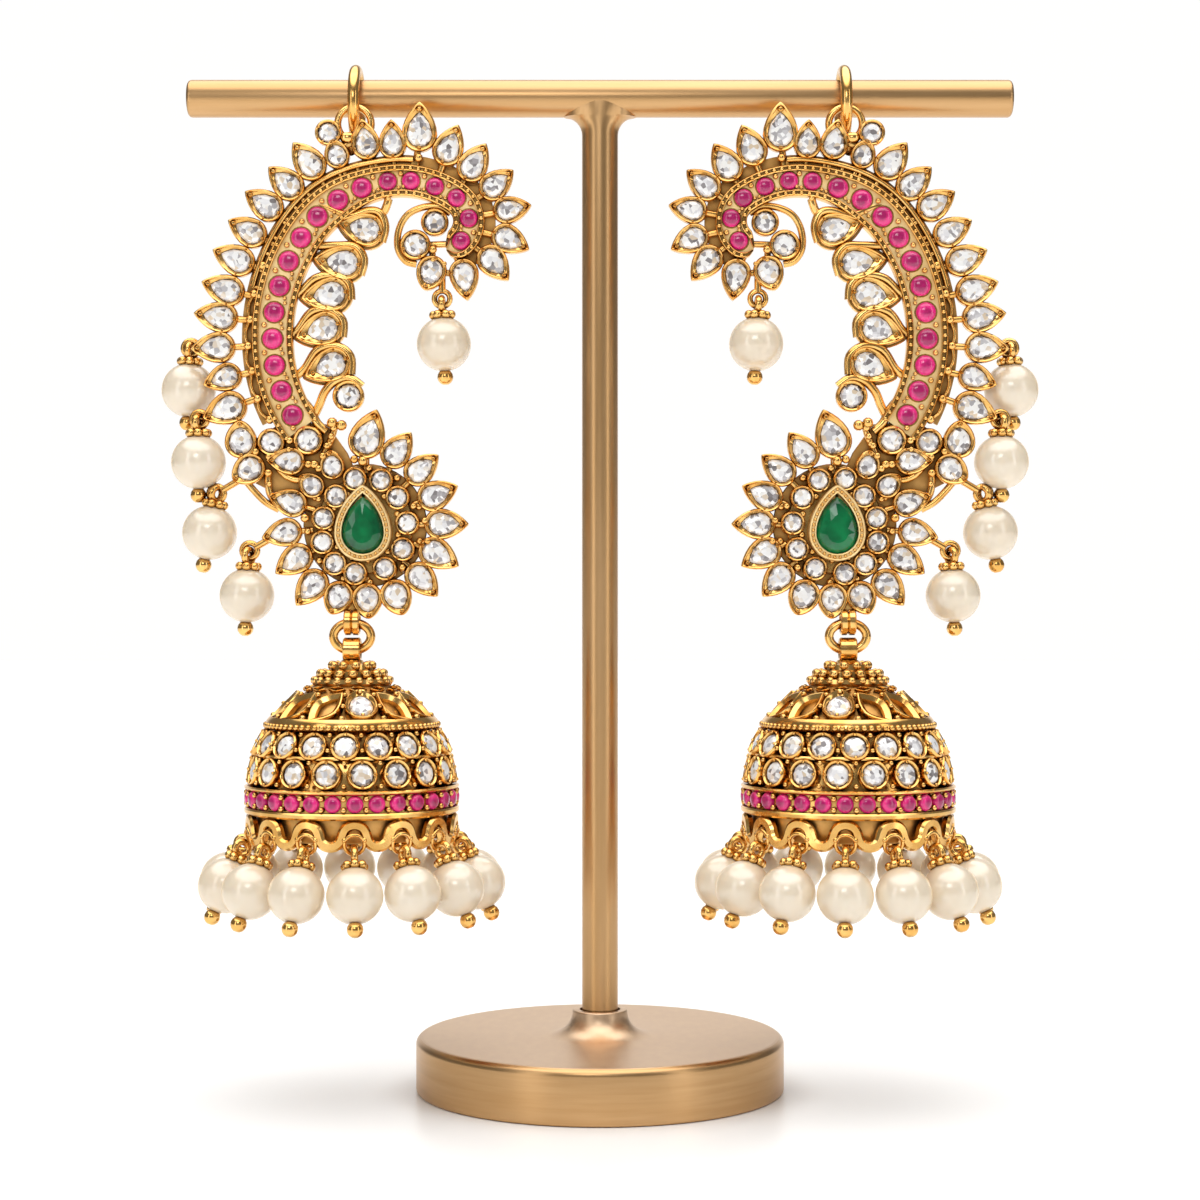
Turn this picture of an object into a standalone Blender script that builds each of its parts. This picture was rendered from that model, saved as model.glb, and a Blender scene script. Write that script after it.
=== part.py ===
# Pair of jhumka earrings hanging on a plain T-bar stand.
# Units are metres, +Z is up, -Y is the front, and the origin is the centre of the base's bottom face.
# Each earring is modelled once in its own frame: x runs from its hanging axis towards the stand's
# post, z is height above the bar's axis, and t is height above the back of the ornament's plate.

import math

import bmesh
import bpy
from mathutils import Matrix, Vector

MM = 0.001

# Stand
BASE_DIAMETER = 44.0 * MM
BASE_HEIGHT = 6.5 * MM
BASE_EDGE = 0.9 * MM
BASE_FOOT_EDGE = 0.4 * MM
BOSS_DIAMETER = 6.6 * MM
BOSS_HEIGHT = 3.0 * MM
BOSS_FLARE = 3.2 * MM
SOCKET_DEPTH = 2.0 * MM
POST_DIAMETER = 4.3 * MM
BAR_DIAMETER = 4.45 * MM
BAR_LENGTH = 98.8 * MM
BAR_HEIGHT = 118.7 * MM
BAR_EDGE = 0.5 * MM
TEE_FILLET = 2.2 * MM
HANG_DISTANCE = 29.2 * MM

# Gap left between pieces that touch on the real object
CLEARANCE = 0.3 * MM

# Hanging ring over the bar, and the small ring soldered behind the ornament that it passes through
RING_CLEARANCE = 0.36 * MM
HANGING_DIAMETER = 8.1 * MM
HANGING_WIRE = 1.4 * MM
SMALL_RING_DIAMETER = 4.0 * MM
SMALL_RING_WIRE = 0.8 * MM
SMALL_RING_HEIGHT = -3.55 * MM
SMALL_RING_DEPTH = 2.6 * MM
STEM_WIDTH = 1.3 * MM
STEM_LENGTH = 1.8 * MM
STEM_PLACE = -0.2 * MM
BRIDGE_WIDTH = 1.2 * MM
BRIDGE_START_X = -1.9 * MM
BRIDGE_START_Z = -6.9 * MM
BRIDGE_END_X = 1.4 * MM
BRIDGE_END_Z = -5.7 * MM

# Ornament plate
PLATE_BACK = 4.3 * MM
PLATE_THICKNESS = 1.8 * MM
STONE_HEIGHT = 0.45 * MM
BACKING_THICKNESS = 0.7 * MM
SINK = 0.1 * MM

# Ruby ribbon: the spine is a chain of tangent arcs, lower end first
RIBBON_START_X = -6.0 * MM
RIBBON_START_Z = -40.0 * MM
RIBBON_HEADING = 125.0
RIBBON_ARCS = (
    # radius in mm, sweep in degrees, steps
    (18.5, 31.0, 3),
    (21.8, 38.0, 4),
    (14.1, 51.5, 4),
    (11.2, 40.5, 3),
    (3.3, 100.0, 5),
)
RIBBON_LOWER_WIDTH = 4.8 * MM
RIBBON_UPPER_WIDTH = 3.7 * MM
RIBBON_TAPER_FROM = 0.55
RIBBON_TAPER_TO = 0.72
RIBBON_CURL_END = 1.9 * MM
RIBBON_RIM = 0.5 * MM
RIBBON_FLOOR = 0.6 * MM

# Ruby row in the ribbon's channel
RUBY_HEIGHT = 1.0 * MM
RUBY_STRIP = 0.5 * MM
RUBY_WIDTH = 0.62
RUBY_SHOULDER = 0.3
RIBBON_RUBIES = 12
CURL_RUBIES = 5
RIBBON_RUBY_SPAN = (0.037, 0.716)
CURL_RUBY_SPAN = (0.770, 0.998)

# Pear collets
COLLET_WIDTH = 3.1 * MM
COLLET_TIP = 2.95 * MM
COLLET_TABLE = 0.5
COLLET_SHAPE = (
    # along as a share of the tip, along and across as shares of the half width
    (1.0, 0.0, 0.0), (0.32, 0.0, 0.82), (0.0, -0.5, 0.95),
)
COLLET_TABLE_SHAPE = ((0.5, 0.0, 0.0), (0.0, 0.0, 1.0), (0.0, -0.9, 0.0), (0.0, 0.0, -1.0))

OUTER_COLLETS = (
    # place as a share of the spine, offset / collet width, lean in degrees, size, tip
    (0.102, 2.03, 4, 1.05, 1.0),
    (0.155, 1.83, 9, 0.90, 1.0),
    (0.208, 2.01, 0, 1.00, 1.0),
    (0.262, 1.93, -4, 1.00, 1.0),
    (0.312, 1.82, -7, 1.00, 1.0),
    (0.370, 1.74, -4, 1.00, 1.0),
    (0.427, 1.70, -2, 0.95, 1.0),
    (0.485, 1.68, 2, 0.97, 1.0),
    (0.535, 1.58, 3, 0.97, 1.0),
    (0.586, 1.66, 4, 1.00, 1.0),
    (0.633, 1.51, -9, 0.88, 0.65),
    (0.687, 1.60, -3, 0.92, 1.0),
    (0.733, 1.44, -1, 0.88, 0.9),
    (0.776, 1.93, 7, 1.12, 0.95),
    (0.826, 1.55, -3, 0.98, 1.0),
    (0.875, 1.40, 1, 0.97, 1.0),
    (0.910, 1.42, 6, 0.92, 1.0),
    (0.937, 1.58, 2, 0.88, 0.95),
    (0.964, 1.58, -12, 0.92, 1.0),
    (0.990, 1.44, -13, 0.95, 1.0),
    (1.023, 1.165, -16, 0.95, 0.95),
)

INNER_LEAVES = (
    # place as a share of the spine, offset / collet width, lean in degrees, size, tip
    (0.614, 1.55, 10, 0.95, 0.8),
    (0.485, 1.95, 14, 1.00, 0.8),
    (0.370, 1.96, 14, 1.03, 0.8),
    (0.251, 1.93, 14, 1.06, 0.8),
    (0.135, 2.12, 10, 1.06, 0.8),
    (0.010, 2.07, 0, 1.20, 0.6),
)

CURL_COLLETS = (
    # x and z in mm, direction of the tip in degrees, size, tip
    (9.7, -15.65, 40, 0.92, 0.85),
    (7.5, -18.4, 200, 1.02, 0.6),
    (9.4, -21.4, -90, 0.95, 0.62),
)
CURL_LEAF = ((10.6, -14.2), (9.2, -13.9), (7.3, -14.7), (5.9, -16.5), (5.7, -18.6), (7.2, -17.0), (9.0, -15.2))
STRUT_WIDTH = 1.0 * MM
CURL_STRUTS = (
    # from x, z to x, z in mm
    (7.6, -18.6, 9.6, -21.2),
    (8.2, -18.3, 11.0, -18.3),
    (9.5, -21.4, 13.0, -21.8),
)

CLUSTER_COLLETS = (
    # x and z in mm, direction of the tip in degrees, size, tip
    (-13.1, -41.6, 90, 0.88, 0.9),
    (-9.6, -41.6, 115, 0.98, 0.6),
    (-5.2, -41.4, -20, 1.08, 0.65),
    (-12.0, -44.7, 215, 0.98, 0.6),
    (-7.1, -43.8, 180, 0.95, 0.95),
    (-2.3, -44.5, 90, 0.80, 0.65),
    (-4.7, -46.8, 150, 0.80, 0.65),
)
BACKING_OUTLINE = (
    (-13.6, -42.0), (-10.0, -40.4), (-8.0, -38.8), (-3.0, -38.9), (-0.4, -43.0),
    (0.6, -46.0), (-4.0, -49.6), (-9.0, -47.6), (-12.6, -46.2),
)

# Rosette with its emerald
ROSETTE_X = 1.5 * MM
ROSETTE_Z = -51.35 * MM
ROSETTE_PLATE = 15.4 * MM
ROSETTE_SIDES = 14
ROSETTE_COLLETS = (
    # angle round the rosette in degrees, radius / plate radius, lean in degrees, size, tip
    (89, 1.35, -18, 1.15, 1.0),
    (67, 1.24, -14, 0.95, 1.0),
    (45, 1.21, -5, 0.93, 1.0),
    (23, 1.18, 0, 0.97, 1.0),
    (1, 1.21, -1, 1.00, 1.0),
    (-21, 1.19, -9, 1.00, 1.0),
    (-43, 1.20, -5, 0.95, 1.0),
    (-66, 1.20, -2, 0.88, 1.0),
    (-88, 1.13, 3, 0.78, 1.0),
    (-110, 1.19, -5, 0.78, 1.0),
    (-131, 1.24, 2, 0.98, 1.0),
    (-154, 1.19, 9, 0.96, 1.0),
    (-175, 1.24, 8, 0.92, 1.0),
    (163, 1.20, -1, 0.90, 1.0),
)
EMERALD_WIDTH = 5.1 * MM
EMERALD_LENGTH = 6.9 * MM
EMERALD_DROP = 0.9 * MM
EMERALD_HEIGHT = 1.7 * MM
EMERALD_SETBACK = 0.15 * MM
EMERALD_LEVELS = (
    # growth of the outline in mm, share of the stone's height
    (-0.5, 0.0), (0.0, 0.35), (-0.35, 0.7), (-1.15, 1.0),
)
BEZEL_WALL = 0.55 * MM
BEZEL_HEIGHT = 1.1 * MM
BEZEL_FOOT = 0.4 * MM

# Hidden ear post behind the rosette
EAR_POST_DIAMETER = 1.0 * MM
EAR_POST_LENGTH = 9.5 * MM
EAR_PAD_DIAMETER = 4.0 * MM
EAR_PAD_THICKNESS = 0.6 * MM
EAR_NUT_DIAMETER = 5.0 * MM
EAR_NUT_LENGTH = 2.4 * MM
EAR_POST_TIP = 1.2 * MM
EAR_POST_RISE = 1.0 * MM

# Loop, connecting ring and bell
LOOP_HEIGHT = -62.75 * MM
LOOP_WIDTH = 1.86 * MM
LOOP_HOLE = 2.1 * MM
LOOP_WALL = 0.5 * MM
LINK_WIDTH = 4.4 * MM
LINK_HEIGHT = 3.3 * MM
LINK_WIRE = 1.08 * MM
LINK_DROP = 0.05 * MM
BAIL_WIDTH = 2.3 * MM
BAIL_HOLE = 1.9 * MM
BAIL_WALL = 0.5 * MM
BAIL_RISE = 0.1 * MM

BELL_RADIUS = 12.6 * MM
BELL_TOP = -67.4 * MM
BELL_HEIGHT = 21.9 * MM
BELL_WALL = 1.1 * MM
CROWN_WALL = 1.6
SHOULDER_WALL = 1.5
CROWN_RISE = 0.02
BELL_TURN = 7.0
STONE_RAISE = 0.55 * MM
DOME_COLUMNS = 12
ROW_COLUMNS = 18
ROW_REACH = 0.42
WINDOW_REACH = 0.44
SCALLOPS = 14
SCALLOP_BAND = 0.065
SCALLOP_DEPTH = 0.105
SCALLOP_WALL = 0.8
SCALLOP_OVERLAP = 0.2 * MM
BELL_OUTLINE = (
    # name, radius / bell radius, depth / bell height
    ("neck", 0.120, 0.000),
    ("cap_top", 0.225, 0.010),
    ("cap_edge", 0.235, 0.045),
    ("tier", 0.345, 0.060),
    ("tier_edge", 0.365, 0.095),
    ("dome_top", 0.470, 0.150),
    ("dome_foot", 0.715, 0.300),
    ("bead", 0.775, 0.325),
    ("row_top", 0.790, 0.360),
    ("row_middle", 0.925, 0.510),
    ("row_foot", 0.960, 0.655),
    ("band_top", 1.000, 0.670),
    ("groove_top", 0.968, 0.692),
    ("groove_foot", 0.968, 0.790),
    ("band_foot", 1.000, 0.812),
    ("skirt", 0.985, 0.835),
)

# Pearls
PEARL_DIAMETER = 6.4 * MM
PEARL_SIDES = 10
PEARL_END_BALL = 1.8 * MM
BELL_PEARL_RADIUS = 15.0 * MM
BELL_PEARL_HEIGHT = -93.2 * MM
BELL_PEARL_TILT = 24.0
SIDE_PEARLS = (
    # name, pearl x and z in mm, hanging point x and z in mm, start of its lug x and z, setback in mm
    ("side_pearl_1", -19.7, -35.2, -19.5, -30.2, -17.6, -30.6, 2.6),
    ("side_pearl_2", -18.1, -43.9, -18.1, -38.9, -16.4, -38.1, 0.0),
    ("side_pearl_3", -16.8, -52.2, -16.1, -47.7, -12.6, -45.6, 0.0),
    ("side_pearl_4", -12.4, -59.6, -12.2, -54.4, -9.6, -52.9, 0.0),
    ("curl_pearl", 10.8, -30.0, 10.6, -24.8, 10.6, -21.6, 0.0),
)
LUG = 0.9 * MM

# Values worked out from the sizes above
BAR_RADIUS = BAR_DIAMETER / 2
POST_RADIUS = POST_DIAMETER / 2
HANGING_RADIUS = HANGING_DIAMETER / 2
HANGING_DROP = HANGING_RADIUS - HANGING_WIRE / 2 - BAR_RADIUS - RING_CLEARANCE
PLATE_MIDDLE = PLATE_BACK + PLATE_THICKNESS / 2
COLLET_HEIGHT = PLATE_THICKNESS - STONE_HEIGHT
RIBBON_START = Vector((RIBBON_START_X, RIBBON_START_Z))
BRIDGE_START = Vector((BRIDGE_START_X, BRIDGE_START_Z))
BRIDGE_END = Vector((BRIDGE_END_X, BRIDGE_END_Z))
ROSETTE_CENTRE = Vector((ROSETTE_X, ROSETTE_Z))
PEARL_RADIUS = PEARL_DIAMETER / 2


def clear_scene():
    for thing in list(bpy.data.objects):
        bpy.data.objects.remove(thing)


def make_material(name, colour, roughness, metallic):
    material = bpy.data.materials.new(name)
    material.use_nodes = True
    shader = material.node_tree.nodes["Principled BSDF"]
    shader.inputs["Base Color"].default_value = (*colour, 1.0)
    shader.inputs["Roughness"].default_value = roughness
    shader.inputs["Metallic"].default_value = metallic
    material.diffuse_color = (*colour, 1.0)
    return material


# Closed shells as (points, faces)

def shell_join(shells):
    points = []
    faces = []
    for shell_points, shell_faces in shells:
        start = len(points)
        points += shell_points
        faces += [tuple(start + index for index in face) for face in shell_faces]
    return points, faces


def shell_move(shell, matrix):
    points, faces = shell
    return [matrix @ Vector(point) for point in points], faces


def zip_rings(ring_a, ring_b):
    """Triangles between two closed rings that may differ in count, ring_a below and ring_b above."""
    count_a, count_b = len(ring_a), len(ring_b)
    faces = []
    a = b = 0
    while a < count_a or b < count_b:
        if b == count_b or (a < count_a and (a + 0.5) * count_b <= (b + 0.5) * count_a):
            faces.append((ring_a[a % count_a], ring_a[(a + 1) % count_a], ring_b[b % count_b]))
            a += 1
        else:
            faces.append((ring_a[a % count_a], ring_b[(b + 1) % count_b], ring_b[b % count_b]))
            b += 1
    return faces


def turned(profile, sides, start_angle=0.0):
    """Solid turned round Z from (radius, height) points, which start and end on the axis."""
    points = []
    faces = []
    rings = []
    for radius, height in profile:
        if radius == 0:
            rings.append([len(points)])
            points.append(Vector((0, 0, height)))
            continue
        ring = []
        for step in range(sides):
            angle = start_angle + 2 * math.pi * step / sides
            ring.append(len(points))
            points.append(Vector((radius * math.cos(angle), radius * math.sin(angle), height)))
        rings.append(ring)
    for lower, upper in zip(rings, rings[1:]):
        for step in range(sides):
            following = (step + 1) % sides
            if len(lower) == 1:
                faces.append((lower[0], upper[following], upper[step]))
            elif len(upper) == 1:
                faces.append((lower[step], lower[following], upper[0]))
            else:
                faces.append((lower[step], lower[following], upper[following], upper[step]))
    return points, faces


def wire_ring(half_width, half_height, wire_radius, steps, wire_sides):
    """Oval ring of round wire in the XZ plane."""
    points = []
    faces = []
    for step in range(steps):
        angle = 2 * math.pi * step / steps
        centre = Vector((half_width * math.cos(angle), 0, half_height * math.sin(angle)))
        outward = Vector((half_height * math.cos(angle), 0, half_width * math.sin(angle))).normalized()
        for side in range(wire_sides):
            turn = 2 * math.pi * (side + 0.5) / wire_sides
            offset = outward * math.cos(turn) + Vector((0, 1, 0)) * math.sin(turn)
            points.append(centre + offset * wire_radius)
    for step in range(steps):
        following = (step + 1) % steps
        for side in range(wire_sides):
            beside = (side + 1) % wire_sides
            faces.append((
                step * wire_sides + side, step * wire_sides + beside,
                following * wire_sides + beside, following * wire_sides + side,
            ))
    return points, faces


def tube_across(outer_radius, inner_radius, width, sides):
    """Short tube along X, such as a loop or a bail."""
    points = []
    faces = []
    corners = ((outer_radius, -1), (outer_radius, 1), (inner_radius, 1), (inner_radius, -1))
    for step in range(sides):
        angle = 2 * math.pi * step / sides
        for radius, end in corners:
            points.append(Vector((end * width / 2, radius * math.cos(angle), radius * math.sin(angle))))
    for step in range(sides):
        following = (step + 1) % sides
        for corner in range(4):
            beside = (corner + 1) % 4
            faces.append((step * 4 + corner, step * 4 + beside, following * 4 + beside, following * 4 + corner))
    return points, faces


def in_plate(flat, height):
    """A point of the ornament: flat is (x, z) and height is above the back of the plate."""
    return Vector((flat[0], -(PLATE_BACK + height), flat[1]))


def slab(outline, bottom, top):
    """Flat piece with an outline of (x, z) points that runs anticlockwise seen from the front."""
    count = len(outline)
    points = [in_plate(point, bottom) for point in outline] + [in_plate(point, top) for point in outline]
    faces = [tuple(reversed(range(count))), tuple(range(count, 2 * count))]
    for step in range(count):
        following = (step + 1) % count
        faces.append((step, following, count + following, count + step))
    return points, faces


def strut(start, end, width, bottom, top):
    """Straight bar of the plate between two (x, z) points."""
    along = (end - start).normalized()
    across = Vector((-along.y, along.x)) * (width / 2)
    return slab([start - across, end - across, end + across, start + across], bottom, top)


def collet(centre, tip_angle, size, tip_share, tail):
    """Pear collet with its cut stone: six walls, ten facets and a table, and a tail to its seat."""
    half = COLLET_WIDTH * size / 2
    tip = COLLET_TIP * size * tip_share
    along = Vector((math.cos(tip_angle), math.sin(tip_angle)))
    across = Vector((-along.y, along.x))
    side = [(u * tip + v * half, w * half) for u, v, w in COLLET_SHAPE]
    shape = side + [(-tail, 0.0)] + [(u, -v) for u, v in reversed(side[1:])]
    table = [(u * tip + v * half, w * half) for u, v, w in COLLET_TABLE_SHAPE]
    points = [in_plate(centre + along * u + across * v, 0) for u, v in shape]
    points += [in_plate(centre + along * u + across * v, COLLET_HEIGHT) for u, v in shape]
    points += [
        in_plate(centre + (along * u + across * v) * COLLET_TABLE, PLATE_THICKNESS) for u, v in table
    ]
    faces = [tuple(reversed(range(6))), (12, 13, 14, 15)]
    for step in range(6):
        following = (step + 1) % 6
        faces.append((step, following, 6 + following, 6 + step))
    faces += [
        (6, 7, 12), (7, 13, 12), (7, 8, 13), (8, 14, 13), (8, 9, 14),
        (9, 10, 14), (10, 15, 14), (10, 11, 15), (11, 12, 15), (11, 6, 12),
    ]
    return points, faces


# Ribbon

def ribbon_length():
    return sum(radius * MM * math.radians(sweep) for radius, sweep, steps in RIBBON_ARCS)


def spine_at(share):
    """Point and heading on the ribbon's spine. Past its end the last arc goes on."""
    left = share * ribbon_length()
    point = RIBBON_START.copy()
    heading = math.radians(RIBBON_HEADING)
    for row, (radius_mm, sweep, steps) in enumerate(RIBBON_ARCS):
        radius = radius_mm * MM
        length = radius * math.radians(sweep)
        turn = min(left, length) / radius
        if row == len(RIBBON_ARCS) - 1:
            turn = left / radius
        centre = point + radius * Vector((math.sin(heading), -math.cos(heading)))
        heading -= turn
        point = centre + radius * Vector((-math.sin(heading), math.cos(heading)))
        left -= length
        if left <= 0:
            break
    return point, heading


def outward(heading):
    return Vector((-math.sin(heading), math.cos(heading)))


def ribbon_half_width(share):
    blend = (share - RIBBON_TAPER_FROM) / (RIBBON_TAPER_TO - RIBBON_TAPER_FROM)
    blend = min(max(blend, 0.0), 1.0)
    blend = blend * blend * (3 - 2 * blend)
    return (RIBBON_LOWER_WIDTH + (RIBBON_UPPER_WIDTH - RIBBON_LOWER_WIDTH) * blend) / 2


def ribbon_stations():
    """Shares of the spine at which the ribbon has a section, its rounded end included."""
    shares = [0.0]
    total = ribbon_length()
    reached = 0.0
    for radius, sweep, steps in RIBBON_ARCS:
        length = radius * MM * math.radians(sweep)
        shares += [(reached + length * (step + 1) / steps) / total for step in range(steps)]
        reached += length
    end = RIBBON_CURL_END / total
    shares += [1.0 + 0.6 * end, 1.0 + end]
    return shares


def ribbon_end_shrink(share):
    """The curl's end closes round the last ruby."""
    past = (share - 1.0) * ribbon_length() / RIBBON_CURL_END
    return math.sqrt(max(1.0 - past * past * 0.75, 0.0)) if past > 0 else 1.0


def swept(shares, section_at):
    """Solid along the spine. Each section is a list of (offset, height) points."""
    points = []
    faces = []
    count = 0
    for share in shares:
        centre, heading = spine_at(share)
        side = outward(heading)
        section = section_at(share)
        count = len(section)
        points += [in_plate(centre + side * offset, height) for offset, height in section]
    for step in range(len(shares) - 1):
        for corner in range(count):
            beside = (corner + 1) % count
            faces.append((
                step * count + corner, step * count + beside,
                (step + 1) * count + beside, (step + 1) * count + corner,
            ))
    last = (len(shares) - 1) * count
    faces.append(tuple(reversed(range(count))))
    faces.append(tuple(last + corner for corner in range(count)))
    return points, faces


def ribbon_section(share):
    half = ribbon_half_width(share) * ribbon_end_shrink(share)
    channel = half - RIBBON_RIM
    return [
        (-half, 0), (-half, PLATE_THICKNESS), (-channel, PLATE_THICKNESS), (-channel, RIBBON_FLOOR),
        (channel, RIBBON_FLOOR), (channel, PLATE_THICKNESS), (half, PLATE_THICKNESS), (half, 0),
    ]


def ruby_shares():
    shares = []
    for count, (first, last) in ((RIBBON_RUBIES, RIBBON_RUBY_SPAN), (CURL_RUBIES, CURL_RUBY_SPAN)):
        shares += [first + (last - first) * step / (count - 1) for step in range(count)]
    return shares


def ruby_row():
    """Strip of rubies in the channel: a raised six-sided cabochon in each cell, all in one body."""
    stones = ruby_shares()
    edges = [1.5 * stones[0] - 0.5 * stones[1]]
    edges += [(a + b) / 2 for a, b in zip(stones, stones[1:])]
    edges += [1.5 * stones[-1] - 0.5 * stones[-2]]
    edges[0] = max(edges[0], CLEARANCE / ribbon_length())
    bottom = RIBBON_FLOOR + CLEARANCE
    deck = bottom + RUBY_STRIP
    top = deck + RUBY_HEIGHT
    points = []
    faces = []
    for share in edges:
        centre, heading = spine_at(share)
        half = ribbon_half_width(share) * ribbon_end_shrink(share) - RIBBON_RIM - CLEARANCE
        side = outward(heading)
        for offset, height in ((-half, bottom), (-half, deck), (half, deck), (half, bottom)):
            points.append(in_plate(centre + side * offset, height))
    for step in range(len(stones)):
        a, b = 4 * step, 4 * (step + 1)
        faces.append((a, a + 1, b + 1, b))
        faces.append((a + 2, a + 3, b + 3, b + 2))
        faces.append((a + 3, a, b, b + 3))
        centre, heading = spine_at(stones[step])
        half = ribbon_half_width(stones[step]) - RIBBON_RIM - CLEARANCE
        along = Vector((math.cos(heading), math.sin(heading)))
        side = outward(heading)
        dome = []
        for corner in range(6):
            angle = math.radians(30 + 60 * corner)
            dome.append(len(points))
            flat = centre + (along * math.sin(angle) + side * math.cos(angle)) * (RUBY_WIDTH * half)
            points.append(in_plate(flat, top - RUBY_SHOULDER * RUBY_HEIGHT))
        peak = len(points)
        points.append(in_plate(centre, top))
        low_a, high_a, high_b, low_b = a + 1, a + 2, b + 2, b + 1
        faces += [
            (low_a, high_a, dome[4]), (high_a, dome[5], dome[4]), (high_a, high_b, dome[5]),
            (high_b, dome[0], dome[5]), (high_b, dome[1], dome[0]), (high_b, low_b, dome[1]),
            (low_b, dome[2], dome[1]), (low_b, low_a, dome[2]), (low_a, dome[3], dome[2]),
            (low_a, dome[4], dome[3]),
        ]
        faces += [(dome[corner], dome[(corner + 1) % 6], peak) for corner in range(6)]
    last = 4 * len(stones)
    faces.append((3, 2, 1, 0))
    faces.append((last, last + 1, last + 2, last + 3))
    return points, faces


# Frame

def collets_on_spine(rows, outside):
    """Collets along the ribbon, each with a tail into the ribbon's rim."""
    shells = []
    for share, offset_share, lean, size, tip in rows:
        point, heading = spine_at(share)
        sign = 1 if outside else -1
        normal = outward(heading) * sign
        offset = offset_share * COLLET_WIDTH
        angle = math.atan2(normal.y, normal.x) + math.radians(lean)
        reach = offset - ribbon_half_width(share) * ribbon_end_shrink(share) + 0.8 * RIBBON_RIM
        tail = max(reach, COLLET_WIDTH * size * 0.5)
        shells.append(collet(point + normal * offset, angle, size, tip, tail))
    return shells


def rosette_shells():
    plate = [
        ROSETTE_CENTRE + Vector((math.cos(angle), math.sin(angle))) * ROSETTE_PLATE / 2
        for angle in (2 * math.pi * (step + 0.5) / ROSETTE_SIDES for step in range(ROSETTE_SIDES))
    ]
    shells = [slab(plate, SINK, COLLET_HEIGHT)]
    for degrees, radius_share, lean, size, tip in ROSETTE_COLLETS:
        angle = math.radians(degrees)
        radius = radius_share * ROSETTE_PLATE / 2
        centre = ROSETTE_CENTRE + Vector((math.cos(angle), math.sin(angle))) * radius
        tail = radius - ROSETTE_PLATE / 2 + 0.3 * COLLET_WIDTH
        tail = max(tail, 0.5 * size * COLLET_WIDTH)
        shells.append(collet(centre, angle + math.radians(lean), size, tip, tail))
    return shells


def pear_outline(width, length, steps=12):
    """Pear seen from the front, point up, with its round end about the origin."""
    radius = width / 2
    tip = length - radius
    start = math.asin(radius / tip) / 2
    outline = [Vector((0, tip))]
    for step in range(steps - 1):
        angle = math.pi / 2 + (math.pi / 2 - start) * 0.6
        sweep = 2 * math.pi - 2 * (angle - math.pi / 2)
        turn = angle + sweep * step / (steps - 2)
        outline.append(Vector((radius * math.cos(turn), radius * math.sin(turn))))
    return outline


def emerald_centre():
    return ROSETTE_CENTRE - Vector((EMERALD_SETBACK, EMERALD_DROP))


def grown_pear(growth):
    return [
        emerald_centre() + point
        for point in pear_outline(EMERALD_WIDTH + 2 * growth, EMERALD_LENGTH + 2.6 * growth)
    ]


def bezel():
    """Cup round the emerald, open to the front."""
    inner = grown_pear(CLEARANCE)
    outer = grown_pear(CLEARANCE + BEZEL_WALL)
    count = len(inner)
    floor = COLLET_HEIGHT
    top = COLLET_HEIGHT + BEZEL_HEIGHT
    points = [in_plate(point, BEZEL_FOOT) for point in outer]
    points += [in_plate(point, top) for point in outer]
    points += [in_plate(point, top) for point in inner]
    points += [in_plate(point, floor) for point in inner]
    faces = [tuple(reversed(range(count))), tuple(range(3 * count, 4 * count))]
    for level in range(3):
        for step in range(count):
            following = (step + 1) % count
            a, b = level * count, (level + 1) * count
            faces.append((a + step, a + following, b + following, b + step))
    return points, faces


def emerald():
    """Pear stone with a girdle, a crown of facets and a table."""
    floor = COLLET_HEIGHT + CLEARANCE
    levels = [(grown_pear(growth * MM), floor + share * EMERALD_HEIGHT) for growth, share in EMERALD_LEVELS]
    count = len(levels[0][0])
    points = []
    for outline, height in levels:
        points += [in_plate(point, height) for point in outline]
    faces = [tuple(reversed(range(count))), tuple(range(3 * count, 4 * count))]
    for level in range(3):
        a, b = level * count, (level + 1) * count
        for step in range(count):
            following = (step + 1) % count
            faces.append((a + step, a + following, b + following, b + step))
    return points, faces


def small_ring():
    """Ring with the stem that holds it behind the plate, and the bridge between the two end collets."""
    centre = Vector((0, -SMALL_RING_DEPTH, SMALL_RING_HEIGHT))
    radius = SMALL_RING_DIAMETER / 2
    ring = shell_move(wire_ring(radius, radius, SMALL_RING_WIRE / 2, 12, 5), Matrix.Translation(centre))
    stem_start = Vector((STEM_PLACE, SMALL_RING_HEIGHT - radius + SMALL_RING_WIRE / 4))
    stem_end = stem_start - Vector((0, STEM_LENGTH))
    stem_back = SMALL_RING_DEPTH - PLATE_BACK - SMALL_RING_WIRE / 4
    stem = strut(stem_start, stem_end, STEM_WIDTH, stem_back, 0.5 * COLLET_HEIGHT)
    bridge = strut(BRIDGE_START, BRIDGE_END, BRIDGE_WIDTH, SINK, 0.45 * COLLET_HEIGHT)
    return [ring, stem, bridge]


def bottom_loop():
    hole = LOOP_HOLE / 2
    outer = hole + LOOP_WALL
    centre = Vector((0, -PLATE_MIDDLE, LOOP_HEIGHT))
    loop = shell_move(tube_across(outer, hole, LOOP_WIDTH, 12), Matrix.Translation(centre))
    seat = LOOP_HEIGHT + hole + 0.25 * LOOP_WALL
    rosette_foot = ROSETTE_CENTRE.y - ROSETTE_PLATE / 2
    half = LOOP_WIDTH / 2 + LOOP_WALL
    web = [Vector((-half, seat)), Vector((half, seat)), Vector((half, rosette_foot)), Vector((-half, rosette_foot))]
    return [loop, slab(web, 0.3 * PLATE_THICKNESS, 0.6 * PLATE_THICKNESS)]


def lugs():
    shells = []
    middle = PLATE_THICKNESS / 2
    for name, x, z, hang_x, hang_z, lug_x, lug_z, setback in SIDE_PEARLS:
        start = Vector((lug_x, lug_z)) * MM
        end = Vector((hang_x, hang_z)) * MM
        along = (end - start).normalized()
        back = middle - setback * MM - LUG / 2
        shells.append(strut(start, end + along * LUG / 2, LUG, back, middle + LUG / 2))
    return shells


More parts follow.
